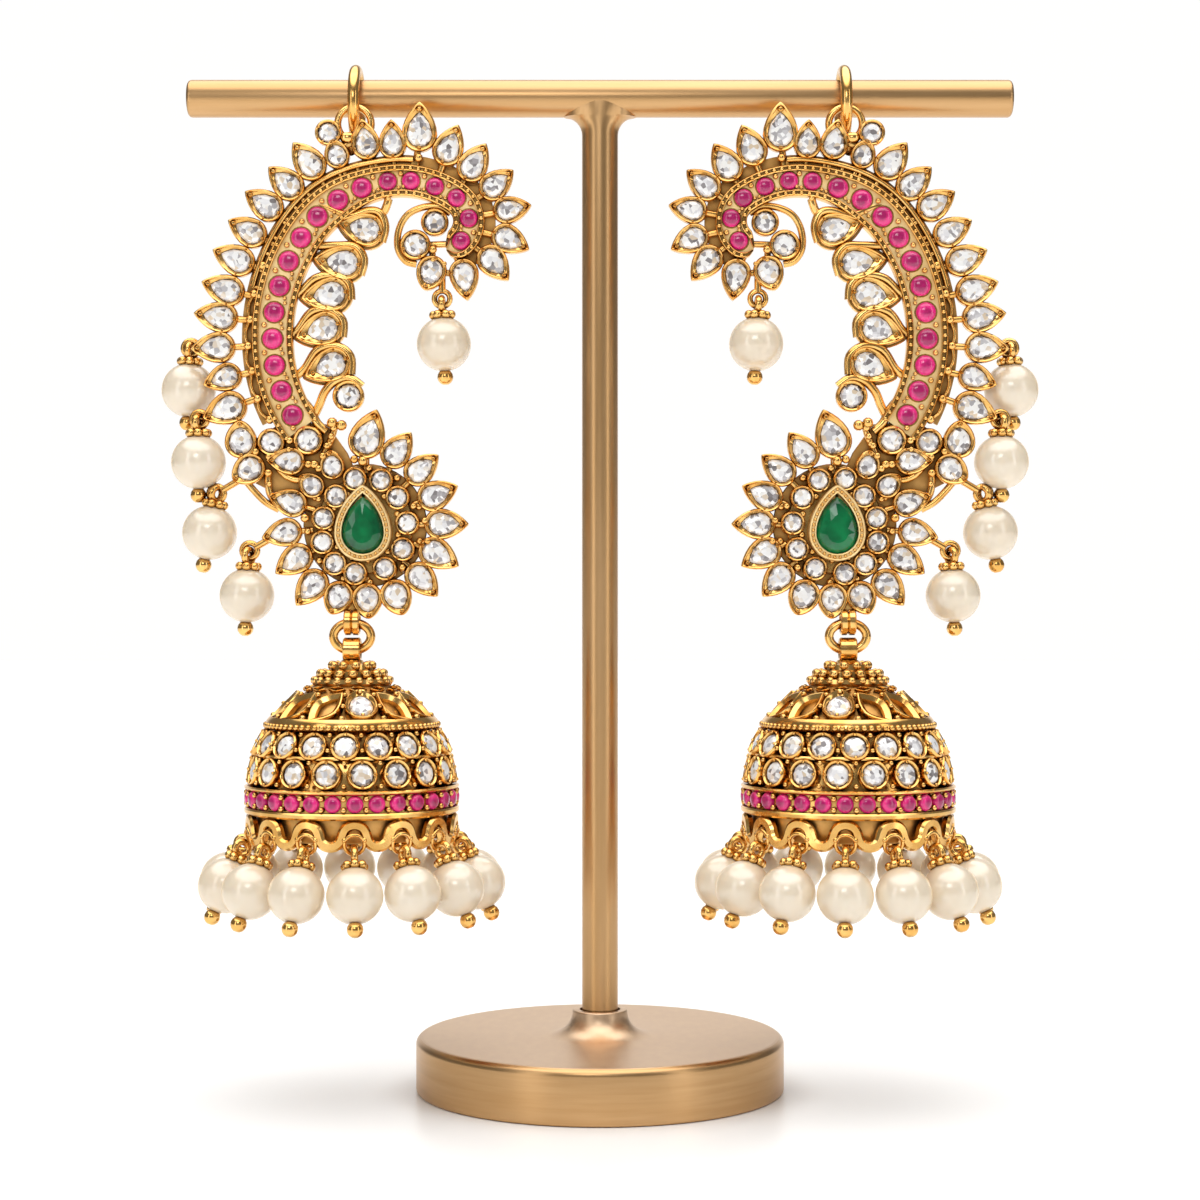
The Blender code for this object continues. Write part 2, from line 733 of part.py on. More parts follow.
def frame_shells():
    shells = collets_on_spine(OUTER_COLLETS, True)
    shells += collets_on_spine(INNER_LEAVES, False)
    for x, z, direction, size, tip in CURL_COLLETS + CLUSTER_COLLETS:
        centre = Vector((x, z)) * MM
        shells.append(collet(centre, math.radians(direction), size, tip, 0.52 * size * COLLET_WIDTH))
    leaf = [Vector(point) * MM for point in CURL_LEAF]
    shells.append(slab(leaf, 2 * SINK, 0.8 * COLLET_HEIGHT))
    backing = [Vector(point) * MM for point in reversed(BACKING_OUTLINE)]
    shells.append(slab(backing, SINK, BACKING_THICKNESS))
    for x1, z1, x2, z2 in CURL_STRUTS:
        start, end = Vector((x1, z1)) * MM, Vector((x2, z2)) * MM
        shells.append(strut(start, end, STRUT_WIDTH, SINK, RIBBON_FLOOR))
    shells += rosette_shells()
    shells.append(bezel())
    shells += small_ring()
    shells += bottom_loop()
    shells += lugs()
    return shells


# Bell, which hangs turned on its ring by BELL_TURN degrees, with a pearl below each arch of its edge

def outline_point(name):
    for row_name, radius, depth in BELL_OUTLINE:
        if row_name == name:
            return radius * BELL_RADIUS, BELL_TOP - depth * BELL_HEIGHT
    raise KeyError(name)


def ring_points(points, radius, height, count, phase=0.0):
    """Ring of points round the bell's axis, the first one at the front."""
    ring = []
    for step in range(count):
        angle = -math.pi / 2 + 2 * math.pi * (step + phase) / count
        ring.append(len(points))
        points.append(Vector((radius * math.cos(angle), radius * math.sin(angle), height)))
    return ring


def cell_ring(points, top, bottom, raised, count, reach):
    """One small square of points in each cell of a band, raised above the band's surface."""
    loops = []
    middle = 0.5 * (top[1] + bottom[1])
    half_height = 0.5 * (top[1] - bottom[1]) * reach
    for step in range(count):
        loop = []
        for across, up in ((1, 1), (-1, 1), (-1, -1), (1, -1)):
            height = middle + half_height * up
            share = (height - bottom[1]) / (top[1] - bottom[1])
            radius = bottom[0] + (top[0] - bottom[0]) * share + raised
            angle = -math.pi / 2 + math.pi / count * (2 * step + 2 + reach * across)
            loop.append(len(points))
            points.append(Vector((radius * math.cos(angle), radius * math.sin(angle), height)))
        loops.append(loop)
    return loops


def cell_corners(lower, upper, step):
    following = (step + 1) % len(lower)
    return lower[step], lower[following], upper[following], upper[step]


def collar_faces(corners, loop):
    """Faces between a four-cornered cell and the square inside it, both anticlockwise."""
    a, b, c, d = corners
    return [
        (b, c, loop[0]), (c, loop[1], loop[0]), (c, d, loop[1]), (d, loop[2], loop[1]),
        (d, a, loop[2]), (a, loop[3], loop[2]), (a, b, loop[3]), (b, loop[0], loop[3]),
    ]


def bell_shell():
    """Turned shell with a pierced dome tier, two rows of stones and a plain band, open below."""
    points = []
    faces = []
    names = [row[0] for row in BELL_OUTLINE]
    rings = {}
    columns = DOME_COLUMNS
    for name in names:
        if name == "bead":
            columns = ROW_COLUMNS
        radius, height = outline_point(name)
        rings[name] = ring_points(points, radius, height, columns, 0.5)
    apex = len(points)
    points.append(Vector((0, 0, outline_point("neck")[1])))
    neck = rings["neck"]
    faces += [(neck[step], neck[(step + 1) % len(neck)], apex) for step in range(len(neck))]
    for upper_name, lower_name in zip(names, names[1:]):
        upper, lower = rings[upper_name], rings[lower_name]
        if upper_name in ("dome_top", "row_top", "row_middle"):
            continue
        if len(upper) == len(lower):
            for step in range(len(lower)):
                faces.append(cell_corners(lower, upper, step))
        else:
            faces += zip_rings(lower, upper)
    for upper_name, lower_name in (("row_top", "row_middle"), ("row_middle", "row_foot")):
        top, bottom = outline_point(upper_name), outline_point(lower_name)
        loops = cell_ring(points, top, bottom, STONE_RAISE, ROW_COLUMNS, ROW_REACH)
        for step, loop in enumerate(loops):
            faces += collar_faces(cell_corners(rings[lower_name], rings[upper_name], step), loop)
            faces.append(tuple(loop))
    foot_radius, foot_height = outline_point("skirt")
    top_outer, foot_outer = outline_point("dome_top"), outline_point("dome_foot")
    middle_radius, middle_height = outline_point("row_middle")
    inner_top = (top_outer[0] - CROWN_WALL * BELL_WALL, top_outer[1])
    inner_foot = (foot_outer[0] - SHOULDER_WALL * BELL_WALL, foot_outer[1])
    inner_apex = len(points)
    points.append(Vector((0, 0, inner_top[1] + CROWN_RISE * BELL_HEIGHT)))
    inner_rings = [
        ring_points(points, *inner_top, DOME_COLUMNS, 0.5),
        ring_points(points, *inner_foot, DOME_COLUMNS, 0.5),
        ring_points(points, middle_radius - BELL_WALL, middle_height, DOME_COLUMNS, 0.5),
        ring_points(points, foot_radius - BELL_WALL, foot_height, ROW_COLUMNS, 0.5),
    ]
    first = inner_rings[0]
    faces += [(first[(step + 1) % len(first)], first[step], inner_apex) for step in range(len(first))]
    for upper, lower in zip(inner_rings[1:], inner_rings[2:]):
        if len(upper) == len(lower):
            faces += [tuple(reversed(cell_corners(lower, upper, step))) for step in range(len(lower))]
        else:
            faces += [tuple(reversed(face)) for face in zip_rings(lower, upper)]
    outer_loops = cell_ring(points, top_outer, foot_outer, 0.0, DOME_COLUMNS, WINDOW_REACH)
    inner_loops = cell_ring(points, inner_top, inner_foot, 0.0, DOME_COLUMNS, WINDOW_REACH)
    for step in range(DOME_COLUMNS):
        outer, inner = outer_loops[step], inner_loops[step]
        faces += collar_faces(cell_corners(rings["dome_foot"], rings["dome_top"], step), outer)
        inner_cell = cell_corners(inner_rings[1], inner_rings[0], step)
        faces += [tuple(reversed(face)) for face in collar_faces(inner_cell, inner)]
        for corner in range(4):
            beside = (corner + 1) % 4
            faces.append((outer[corner], outer[beside], inner[beside], inner[corner]))
    skirt, last = rings["skirt"], inner_rings[-1]
    for step in range(ROW_COLUMNS):
        following = (step + 1) % ROW_COLUMNS
        faces.append((skirt[following], skirt[step], last[step], last[following]))
    return points, faces


def scallop_band():
    """Waved band below the bell: a flat crest under the ruby band at each pearl, a trough between."""
    outer_radius, seat = outline_point("skirt")
    inner_radius = outer_radius - SCALLOP_WALL * BELL_WALL
    width = SCALLOP_BAND * BELL_HEIGHT
    drop = SCALLOP_DEPTH * BELL_HEIGHT
    points = []
    faces = []
    columns = 3 * SCALLOPS
    for step in range(columns):
        wave, part = divmod(step, 3)
        turn = (wave + (-0.2, 0.2, 0.5)[part]) * 2 * math.pi / SCALLOPS - math.pi / 2 + math.radians(BELL_TURN)
        top = seat + SCALLOP_OVERLAP - (drop if part == 2 else 0.0)
        for radius, height in (
            (outer_radius, top - width), (outer_radius, top), (inner_radius, top), (inner_radius, top - width)
        ):
            points.append(Vector((radius * math.cos(turn), radius * math.sin(turn), height)))
    for step in range(columns):
        following = (step + 1) % columns
        for corner in range(4):
            beside = (corner + 1) % 4
            faces.append((step * 4 + corner, following * 4 + corner, following * 4 + beside, step * 4 + beside))
    return points, faces


def bail():
    hole = BAIL_HOLE / 2
    shell = tube_across(hole + BAIL_WALL, hole, BAIL_WIDTH, 12)
    return shell_move(shell, Matrix.Translation((0, 0, bail_height())))


def link_height():
    """Centre of the connecting ring, whose top wire lies just above the foot of the loop's hole."""
    return LOOP_HEIGHT - LINK_DROP - LINK_HEIGHT / 2


def bail_height():
    """Centre of the bail's hole, a little above the ring's bottom wire because that wire curves up."""
    return link_height() - LINK_HEIGHT / 2 + BAIL_RISE


def bell_pearl(hang):
    """Pearl with its end ball and pointed cap, turned about its own axis with its centre at the origin."""
    radius = PEARL_RADIUS
    ring = radius * math.sqrt(0.5)
    return turned([
        (0, -radius - 0.85 * PEARL_END_BALL),
        (PEARL_END_BALL / 2, -radius - 0.4 * PEARL_END_BALL),
        (PEARL_END_BALL / 4, -radius),
        (ring, -ring),
        (radius, 0),
        (ring, ring),
        (0, hang),
    ], PEARL_SIDES)


# Stand

def stand_base():
    radius = BASE_DIAMETER / 2
    boss = BOSS_DIAMETER / 2
    top = BASE_HEIGHT
    boss_top = top + BOSS_HEIGHT
    socket = POST_RADIUS + CLEARANCE
    profile = [(0, 0), (radius - BASE_FOOT_EDGE, 0), (radius, BASE_FOOT_EDGE), (radius, top - BASE_EDGE)]
    edge = BASE_EDGE * math.cos(math.radians(45))
    profile.append((radius - BASE_EDGE + edge, top - BASE_EDGE + edge))
    profile.append((radius - BASE_EDGE, top))
    for angle in (0, 45, 80):
        turn = math.radians(angle)
        profile.append((
            boss + BOSS_FLARE - BOSS_FLARE * math.sin(turn),
            top + 0.9 * BOSS_HEIGHT * (1 - math.cos(turn)),
        ))
    profile += [(boss, boss_top), (socket, boss_top), (socket, boss_top - SOCKET_DEPTH), (0, boss_top - SOCKET_DEPTH)]
    return turned(profile, 24)


def stand_post():
    """Post with its fillets to the bar, which widen along X only."""
    sides = 12
    foot = BASE_HEIGHT + BOSS_HEIGHT - SOCKET_DEPTH + CLEARANCE
    levels = [(foot, 0.0), (BAR_HEIGHT - BAR_RADIUS - TEE_FILLET, 0.0)]
    for angle in (30, 60, 90):
        turn = math.radians(angle)
        levels.append((
            BAR_HEIGHT - BAR_RADIUS - TEE_FILLET + TEE_FILLET * math.sin(turn),
            TEE_FILLET * (1 - math.cos(turn)),
        ))
    levels.append((BAR_HEIGHT, TEE_FILLET))
    points = []
    faces = []
    for height, flare in levels:
        for side in range(sides):
            turn = 2 * math.pi * (side + 0.5) / sides
            points.append(Vector((
                (POST_RADIUS + flare) * math.cos(turn), 0.999 * POST_RADIUS * math.sin(turn), height
            )))
    for level in range(len(levels) - 1):
        for side in range(sides):
            beside = (side + 1) % sides
            a, b = level * sides, (level + 1) * sides
            faces.append((a + side, a + beside, b + beside, b + side))
    last = (len(levels) - 1) * sides
    faces.append(tuple(reversed(range(sides))))
    faces.append(tuple(last + side for side in range(sides)))
    return points, faces


def stand_bar():
    half = BAR_LENGTH / 2
    profile = [
        (0, -half), (BAR_RADIUS - BAR_EDGE, -half), (BAR_RADIUS, -half + BAR_EDGE),
        (BAR_RADIUS, half - BAR_EDGE), (BAR_RADIUS - BAR_EDGE, half), (0, half),
    ]
    turn = Matrix.Translation((0, 0, BAR_HEIGHT)) @ Matrix.Rotation(math.pi / 2, 4, "Y")
    return shell_move(turned(profile, 16, math.pi / 16), turn)


def ear_post():
    """Plain post with a pad against the plate and a plain nut near its end, along +Y."""
    pad = EAR_PAD_DIAMETER / 2
    post = EAR_POST_DIAMETER / 2
    nut = EAR_NUT_DIAMETER / 2
    start = CLEARANCE
    end = start + EAR_POST_LENGTH
    nut_start = end - EAR_POST_TIP - EAR_NUT_LENGTH
    profile = [
        (0, start), (pad, start), (pad, start + EAR_PAD_THICKNESS), (post, start + EAR_PAD_THICKNESS),
        (post, nut_start), (nut, nut_start), (nut, nut_start + EAR_NUT_LENGTH),
        (post, nut_start + EAR_NUT_LENGTH), (post, end), (0, end),
    ]
    place = Matrix.Translation((ROSETTE_CENTRE.x, -PLATE_BACK, ROSETTE_CENTRE.y + EAR_POST_RISE))
    return shell_move(turned(profile, 8), place @ Matrix.Rotation(-math.pi / 2, 4, "X"))


# Objects

def add_object(name, shell, material, origin, side, parent, smooth_angle=30.0):
    """Mesh object from a shell in the earring's or the stand's frame, mirrored for the right side."""
    points, faces = shell
    mirror = -1 if side > 0 else 1
    mesh = bpy.data.meshes.new(name)
    placed = [(mirror * (point[0] - origin[0]), point[1] - origin[1], point[2] - origin[2]) for point in points]
    if mirror < 0:
        faces = [tuple(reversed(face)) for face in faces]
    mesh.from_pydata(placed, [], faces)
    builder = bmesh.new()
    builder.from_mesh(mesh)
    bmesh.ops.recalc_face_normals(builder, faces=builder.faces)
    builder.to_mesh(mesh)
    builder.free()
    mesh.materials.append(material)
    mesh.shade_smooth()
    mesh.set_sharp_from_angle(angle=math.radians(smooth_angle))
    thing = bpy.data.objects.new(name, mesh)
    bpy.context.scene.collection.objects.link(thing)
    thing.parent = parent
    thing.location = (mirror * origin[0], origin[1], origin[2])
    return thing


def add_union(target, helper):
    """Solders the helper's shells to the target."""
    helper.hide_render = True
    helper.display_type = "WIRE"
    helper.parent = target.parent
    union = target.modifiers.new("soldered", "BOOLEAN")
    union.operation = "UNION"
    union.solver = "EXACT"
    union.use_self = True
    union.object = helper


def add_empty(name, location):
    empty = bpy.data.objects.new(name, None)
    empty.empty_display_size = 5 * MM
    empty.location = location
    bpy.context.scene.collection.objects.link(empty)
    return empty


def build_stand(materials):
    stand = add_empty("stand", (0, 0, 0))
    add_object("stand_base", stand_base(), materials["stand"], (0, 0, 0), 0, stand)
    tee = add_object("stand_tee", stand_bar(), materials["stand"], (0, 0, BAR_HEIGHT), 0, stand)
    post = add_object("stand_post_shape", stand_post(), materials["stand"], (0, 0, BAR_HEIGHT), 0, stand)
    add_union(tee, post)


def build_pearls(name, side, earring, bell, materials):
    for pearl, x, z, hang_x, hang_z, lug_x, lug_z, setback in SIDE_PEARLS:
        depth = -PLATE_MIDDLE + setback * MM
        centre = Vector((x * MM, depth, z * MM))
        top = Vector((hang_x * MM, depth, hang_z * MM - LUG / 2 - CLEARANCE))
        axis = top - centre
        turn = Vector((0, 0, 1)).rotation_difference(axis).to_matrix().to_4x4()
        shell = shell_move(bell_pearl(axis.length), Matrix.Translation(centre) @ turn)
        add_object(f"{name}_{pearl}", shell, materials["pearl"], centre, side, earring)
    hang = (BELL_PEARL_HEIGHT - outline_point("skirt")[1]) / -math.cos(math.radians(BELL_PEARL_TILT))
    hang -= (SCALLOP_BAND * BELL_HEIGHT + CLEARANCE) / math.cos(math.radians(BELL_PEARL_TILT))
    for number in range(SCALLOPS):
        azimuth = math.radians(BELL_TURN) + 2 * math.pi * number / SCALLOPS
        tilt = Matrix.Rotation(math.radians(BELL_PEARL_TILT), 4, "X")
        place = Matrix.Rotation(azimuth, 4, "Z") @ Matrix.Translation((0, -BELL_PEARL_RADIUS, BELL_PEARL_HEIGHT))
        shell = shell_move(bell_pearl(hang), Matrix.Translation((0, -PLATE_MIDDLE, 0)) @ place @ tilt.inverted())
        centre = Matrix.Translation((0, -PLATE_MIDDLE, 0)) @ place @ Vector((0, 0, 0))
        pearl = add_object(
            f"{name}_bell_pearl_{number + 1:02d}", shell, materials["pearl"], centre, side, earring
        )
        pearl.parent = bell
        pearl.location -= bell.location


def build_earring(name, side, materials):
    """One earring. side is -1 on the left and +1 on the right."""
    earring = add_empty(f"{name}_earring", (side * HANG_DISTANCE, 0, BAR_HEIGHT))
    gold = materials["gold"]
    turn = Matrix.Rotation(math.pi / 2, 4, "Z")
    hang = Matrix.Translation((0, 0, -HANGING_DROP)) @ turn
    ring = shell_move(wire_ring(HANGING_RADIUS, HANGING_RADIUS, HANGING_WIRE / 2, 14, 6), hang)
    add_object(f"{name}_hanging_ring", ring, gold, (0, 0, 0), side, earring)

    frame = add_object(
        f"{name}_frame", swept(ribbon_stations(), ribbon_section), gold, (0, 0, 0), side, earring
    )
    helper = add_object(f"{name}_frame_shapes", shell_join(frame_shells()), gold, (0, 0, 0), side, earring)
    add_union(frame, helper)
    add_object(f"{name}_ruby_row", ruby_row(), materials["ruby"], (0, 0, 0), side, earring)
    add_object(f"{name}_emerald", emerald(), materials["emerald"], (0, 0, 0), side, earring)
    add_object(f"{name}_ear_post", ear_post(), gold, (0, 0, 0), side, earring)

    link_centre = Vector((0, -PLATE_MIDDLE, link_height()))
    link_hinge = Vector((0, -PLATE_MIDDLE, link_height() + LINK_HEIGHT / 2))
    link = shell_move(
        wire_ring(LINK_WIDTH / 2, LINK_HEIGHT / 2, LINK_WIRE / 2, 14, 6), Matrix.Translation(link_centre)
    )
    add_object(f"{name}_connector_ring", link, gold, link_hinge, side, earring)

    bell_hinge = Vector((0, -PLATE_MIDDLE, bail_height()))
    place = Matrix.Translation((0, -PLATE_MIDDLE, 0))
    bell = add_object(f"{name}_bell", shell_move(bell_shell(), place), gold, bell_hinge, side, earring)
    extras = shell_move(shell_join([scallop_band(), bail()]), place)
    add_union(bell, add_object(f"{name}_bell_shapes", extras, gold, bell_hinge, side, earring))
    build_pearls(name, side, earring, bell, materials)


def main():
    clear_scene()
    materials = {
        "stand": make_material("brushed_champagne_gold", (0.78, 0.58, 0.32), 0.32, 1.0),
        "gold": make_material("polished_gold", (0.90, 0.58, 0.18), 0.16, 1.0),
        "ruby": make_material("ruby_cabochon", (0.75, 0.03, 0.25), 0.12, 0.0),
        "emerald": make_material("emerald", (0.0, 0.16, 0.07), 0.08, 0.0),
        "pearl": make_material("pearl", (0.93, 0.88, 0.80), 0.18, 0.0),
    }
    build_stand(materials)
    build_earring("left", -1, materials)
    build_earring("right", 1, materials)


main()
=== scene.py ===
# %% [markdown]
# # A pair of jhumka earrings on a T-bar stand
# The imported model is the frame: every node sits where the maker's drawing puts it. This lesson dresses
# each node with the detail and the finish of the real jewel, and leaves every size as it is.

# %% Load the frame
import math

import bmesh
import bpy
from mathutils import Matrix, Vector


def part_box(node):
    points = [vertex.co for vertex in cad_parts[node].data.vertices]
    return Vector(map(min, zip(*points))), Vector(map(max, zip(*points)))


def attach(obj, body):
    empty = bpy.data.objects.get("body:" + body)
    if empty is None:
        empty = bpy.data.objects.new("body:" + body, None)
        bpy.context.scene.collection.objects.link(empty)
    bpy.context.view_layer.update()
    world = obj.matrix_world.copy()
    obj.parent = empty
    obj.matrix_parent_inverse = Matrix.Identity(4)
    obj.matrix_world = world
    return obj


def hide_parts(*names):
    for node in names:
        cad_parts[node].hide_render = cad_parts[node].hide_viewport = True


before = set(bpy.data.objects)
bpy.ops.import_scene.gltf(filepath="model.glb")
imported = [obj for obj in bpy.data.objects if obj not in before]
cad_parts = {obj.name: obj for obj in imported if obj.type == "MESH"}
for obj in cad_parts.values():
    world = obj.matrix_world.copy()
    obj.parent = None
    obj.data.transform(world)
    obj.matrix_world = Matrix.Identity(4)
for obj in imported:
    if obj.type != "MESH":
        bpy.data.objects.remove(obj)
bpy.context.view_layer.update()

MM = 0.001

# %% [markdown]
# Each earring is drawn once, flat on the bench, in millimetres: x runs from its hanging axis towards the
# post, y is the height above the bar, and z rises from the back of the plate towards the viewer. One
# matrix stands that drawing up in front of the bar on the left. The right earring is its mirror image.

# %% Where the drawing stands
ring_low, ring_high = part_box("left_hanging_ring")
HANG_X = (ring_low[0] + ring_high[0]) / 2 / MM
BAR_RADIUS, BAR_SIDES = 2.225, 16
BAR_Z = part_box("stand_tee")[1][2] / MM - BAR_RADIUS * math.cos(math.pi / BAR_SIDES)
PLATE_BACK = 4.3
STAND_UP = Matrix((
    (MM, 0, 0, HANG_X * MM),
    (0, 0, -MM, -PLATE_BACK * MM),
    (0, MM, 0, BAR_Z * MM),
    (0, 0, 0, 1),
))
print("hanging axis", round(HANG_X, 2), "bar axis height", round(BAR_Z, 2))

# %% [markdown]
# ## Finishes
# Yellow gold plate is a polished metal. Where light would bounce between its walls, in corners and
# recesses, its colour is darkened with painted shade. A fine noise varies its roughness and gives its surface
# the faint waves that hand polishing leaves.

# %% Metals
def set_sockets(node, **values):
    """Values of a node's inputs, by socket name with _ for each space."""
    for name, value in values.items():
        node.inputs[name.replace("_", " ")].default_value = value


def new_material(name, colour, roughness, metallic):
    material = bpy.data.materials.new(name)
    material.use_nodes = True
    shader = material.node_tree.nodes["Principled BSDF"]
    set_sockets(shader, Base_Color=(*colour, 1), Roughness=roughness, Metallic=metallic)
    material.diffuse_color = (*colour, 1)
    return material, material.node_tree, shader


def add_node(tree, kind, links=(), **values):
    """A node with its values set by property or socket name, and its inputs linked."""
    node = tree.nodes.new(kind)
    for name, value in values.items():
        if hasattr(node, name):
            setattr(node, name, value)
        else:
            set_sockets(node, **{name: value})
    for source, socket in links:
        tree.links.new(source, node.inputs[socket])
    return node


def object_noise(tree, scale, stretch=(1, 1, 1), detail=3.0):
    """Noise on the object's own coordinates, stretched for brushing."""
    place = add_node(tree, "ShaderNodeTexCoord")
    mapping = add_node(tree, "ShaderNodeMapping", [(place.outputs["Object"], "Vector")], Scale=stretch)
    noise = add_node(
        tree, "ShaderNodeTexNoise", [(mapping.outputs["Vector"], "Vector")], Scale=scale, Detail=detail
    )
    return noise.outputs["Fac"]


def ramp(tree, factor, stops):
    node = add_node(tree, "ShaderNodeValToRGB", [(factor, "Fac")])
    elements = node.color_ramp.elements
    while len(elements) < len(stops):
        elements.new(0.5)
    for element, (position, colour) in zip(elements, stops):
        element.position = position
        element.color = (*colour, 1)
    return node.outputs["Color"]


def vary_roughness(tree, shader, factor, low, high):
    spread = add_node(tree, "ShaderNodeMapRange", [(factor, "Value")], To_Min=low, To_Max=high)
    tree.links.new(spread.outputs["Result"], shader.inputs["Roughness"])


def add_bump(tree, shader, factor, height, strength):
    bump = add_node(tree, "ShaderNodeBump", [(factor, "Height")], Strength=strength, Distance=height)
    tree.links.new(bump.outputs["Normal"], shader.inputs["Normal"])


TINT_GRAIN, POLISH_GRAIN, WAVE_GRAIN = 420.0, 1600.0, 700.0
TINT_FROM, TINT_TO, WAVE_STRENGTH = 0.35, 0.62, 0.35
# Painted shade: within this reach of other surfaces, the gold's colour is darkened towards its shade colour.
PAINTED_SHADE_REACH, PAINTED_SHADE_SHUT, PAINTED_SHADE_OPEN = 0.0009, 0.20, 0.78


def gold_finish(name, light, deep, low, high, waves, painted_shade):
    """Polished gold, with painted shade: the last colour is painted into its corners and recesses."""
    material, tree, shader = new_material(name, light, (low + high) / 2, 1.0)
    colour = ramp(tree, object_noise(tree, TINT_GRAIN), [(TINT_FROM, deep), (TINT_TO, light)])
    # painted shade: the occlusion darkens the colour in corners and recesses
    corners = add_node(tree, "ShaderNodeAmbientOcclusion", samples=6, Distance=PAINTED_SHADE_REACH)
    open_share = add_node(
        tree, "ShaderNodeMapRange", [(corners.outputs["AO"], "Value")],
        From_Min=PAINTED_SHADE_SHUT, From_Max=PAINTED_SHADE_OPEN
    )
    mixed = add_node(
        tree, "ShaderNodeMixRGB", [(open_share.outputs["Result"], "Fac"), (colour, "Color2")],
        Color1=(*painted_shade, 1)
    )
    tree.links.new(mixed.outputs["Color"], shader.inputs["Base Color"])
    vary_roughness(tree, shader, object_noise(tree, POLISH_GRAIN), low, high)
    add_bump(tree, shader, object_noise(tree, WAVE_GRAIN, detail=1.0), waves, WAVE_STRENGTH)
    return material


GOLD, SATIN_GOLD, PAINTED_SHADE_GOLD = [gold_finish(*row) for row in (
    # name, light and deep colour, least and most roughness, height of its waves, colour of its painted shade
    ("polished_gold", (0.93, 0.57, 0.19), (0.78, 0.42, 0.11), 0.12, 0.22, 0.00006, (0.20, 0.085, 0.018)),
    ("satin_gold", (1.0, 0.79, 0.42), (0.95, 0.68, 0.30), 0.46, 0.58, 0.00006, (0.66, 0.38, 0.13)),
    # a darker copy of the gold, painted shade for plates, discs and walls that lie in shadow
    ("painted_shade_gold", (0.66, 0.37, 0.12), (0.48, 0.25, 0.07), 0.36, 0.48, 0.00008, (0.14, 0.06, 0.015)),
)]
print("golds", GOLD.name, SATIN_GOLD.name, PAINTED_SHADE_GOLD.name)

# %% [markdown]
# The stand is brushed, so its scratches run one way: along the bar, up the post, and round the base. The
# noise is stretched along that way before it changes the roughness and the bump. The top of the base is a
# paler satin.

# %% Brushed champagne gold
STROKE_GRAIN, STROKE_DETAIL = 900.0, 5.0
STROKE_FROM, STROKE_TO = 0.3, 0.7
STROKE_DEPTH, STROKE_STRENGTH = 0.00003, 0.25


def brushed_finish(name, colour, deep, stretch, low, high):
    material, tree, shader = new_material(name, colour, (low + high) / 2, 1.0)
    strokes = object_noise(tree, STROKE_GRAIN, stretch, STROKE_DETAIL)
    tint = ramp(tree, strokes, [(STROKE_FROM, deep), (STROKE_TO, colour)])
    tree.links.new(tint, shader.inputs["Base Color"])
    vary_roughness(tree, shader, strokes, low, high)
    add_bump(tree, shader, strokes, STROKE_DEPTH, STROKE_STRENGTH)
    return material


CHAMPAGNE, CHAMPAGNE_DEEP = (0.61, 0.38, 0.185), (0.52, 0.305, 0.13)
BRUSHED_BAR, BRUSHED_POST, BRUSHED_BASE, SATIN_TOP = [brushed_finish(*row) for row in (
    # name, light and deep colour, stretch of the strokes in x, y and z, least and most roughness
    ("brushed_bar", CHAMPAGNE, CHAMPAGNE_DEEP, (0.03, 1, 1), 0.26, 0.40),
    ("brushed_post", CHAMPAGNE, CHAMPAGNE_DEEP, (1, 1, 0.03), 0.26, 0.40),
    ("brushed_base", CHAMPAGNE, CHAMPAGNE_DEEP, (0.08, 0.08, 1.6), 0.24, 0.38),
    ("satin_top", (0.70, 0.51, 0.34), (0.65, 0.45, 0.29), (1, 0.4, 1), 0.34, 0.46),
)]
print("brushed", BRUSHED_BAR.name, BRUSHED_POST.name, BRUSHED_BASE.name, SATIN_TOP.name)

# %% [markdown]
# Cut stones look bright because light bounces about inside them. A real path through each small stone would
# cost much time, so its facets are real faces, and a painted cell pattern the size of its inner reflections
# gives them painted light and dark patches and a painted gleam of gold. Rubies are smooth cabochons, with
# painted shade in their middles and a painted highlight at their rims, and the emerald is a deep green stone.
# A pearl is a matt body under a clear coat, with a warm sheen.

# %% Stones and pearl
CELL_GRAIN = 1900.0
CELL_PAINTED_REFLECTIONS = (
    # share of the cells, painted reflections from dark to light, and last a painted gleam of the gold beside
    (0.0, (0.20, 0.18, 0.18)), (0.13, (0.44, 0.42, 0.43)), (0.32, (0.80, 0.79, 0.81)),
    (0.54, (1.0, 1.0, 1.0)), (0.82, (0.96, 0.94, 0.91)), (0.96, (0.72, 0.58, 0.42)),
)


def crystal_finish():
    material, tree, shader = new_material("clear_stone", (0.95, 0.95, 0.96), 0.05, 0.15)
    place = add_node(tree, "ShaderNodeTexCoord")
    cells = add_node(
        tree, "ShaderNodeTexVoronoi", [(place.outputs["Object"], "Vector")], Scale=CELL_GRAIN, Randomness=1.0
    )
    split = add_node(tree, "ShaderNodeSeparateColor", [(cells.outputs["Color"], "Color")])
    # painted reflections: the cells colour the facets light and dark, with a few gold gleams
    tree.links.new(ramp(tree, split.outputs["Red"], CELL_PAINTED_REFLECTIONS), shader.inputs["Base Color"])
    set_sockets(shader, Coat_Weight=0.6, Coat_Roughness=0.02)
    return material


PATCH_FROM, PATCH_TO = 0.38, 0.62
SMOOTHER, ROUGHER = 0.8, 1.4


def glossy_stone(name, light, deep, roughness, grain, shaded=False, **sockets):
    """Coloured stone or pearl. A shaded one has painted shade in its middle, from the mesh's own shade
    attribute.
    """
    material, tree, shader = new_material(name, light, roughness, 0.0)
    patches = object_noise(tree, grain)
    if shaded:
        middle = add_node(tree, "ShaderNodeAttribute", attribute_name="shade")
        patches = add_node(
            tree, "ShaderNodeMath", [(patches, 0), (middle.outputs["Fac"], 1)], operation="SUBTRACT"
        ).outputs[0]
    tree.links.new(ramp(tree, patches, [(PATCH_FROM, deep), (PATCH_TO, light)]), shader.inputs["Base Color"])
    vary_roughness(tree, shader, patches, roughness * SMOOTHER, roughness * ROUGHER)
    set_sockets(shader, **sockets)
    return material


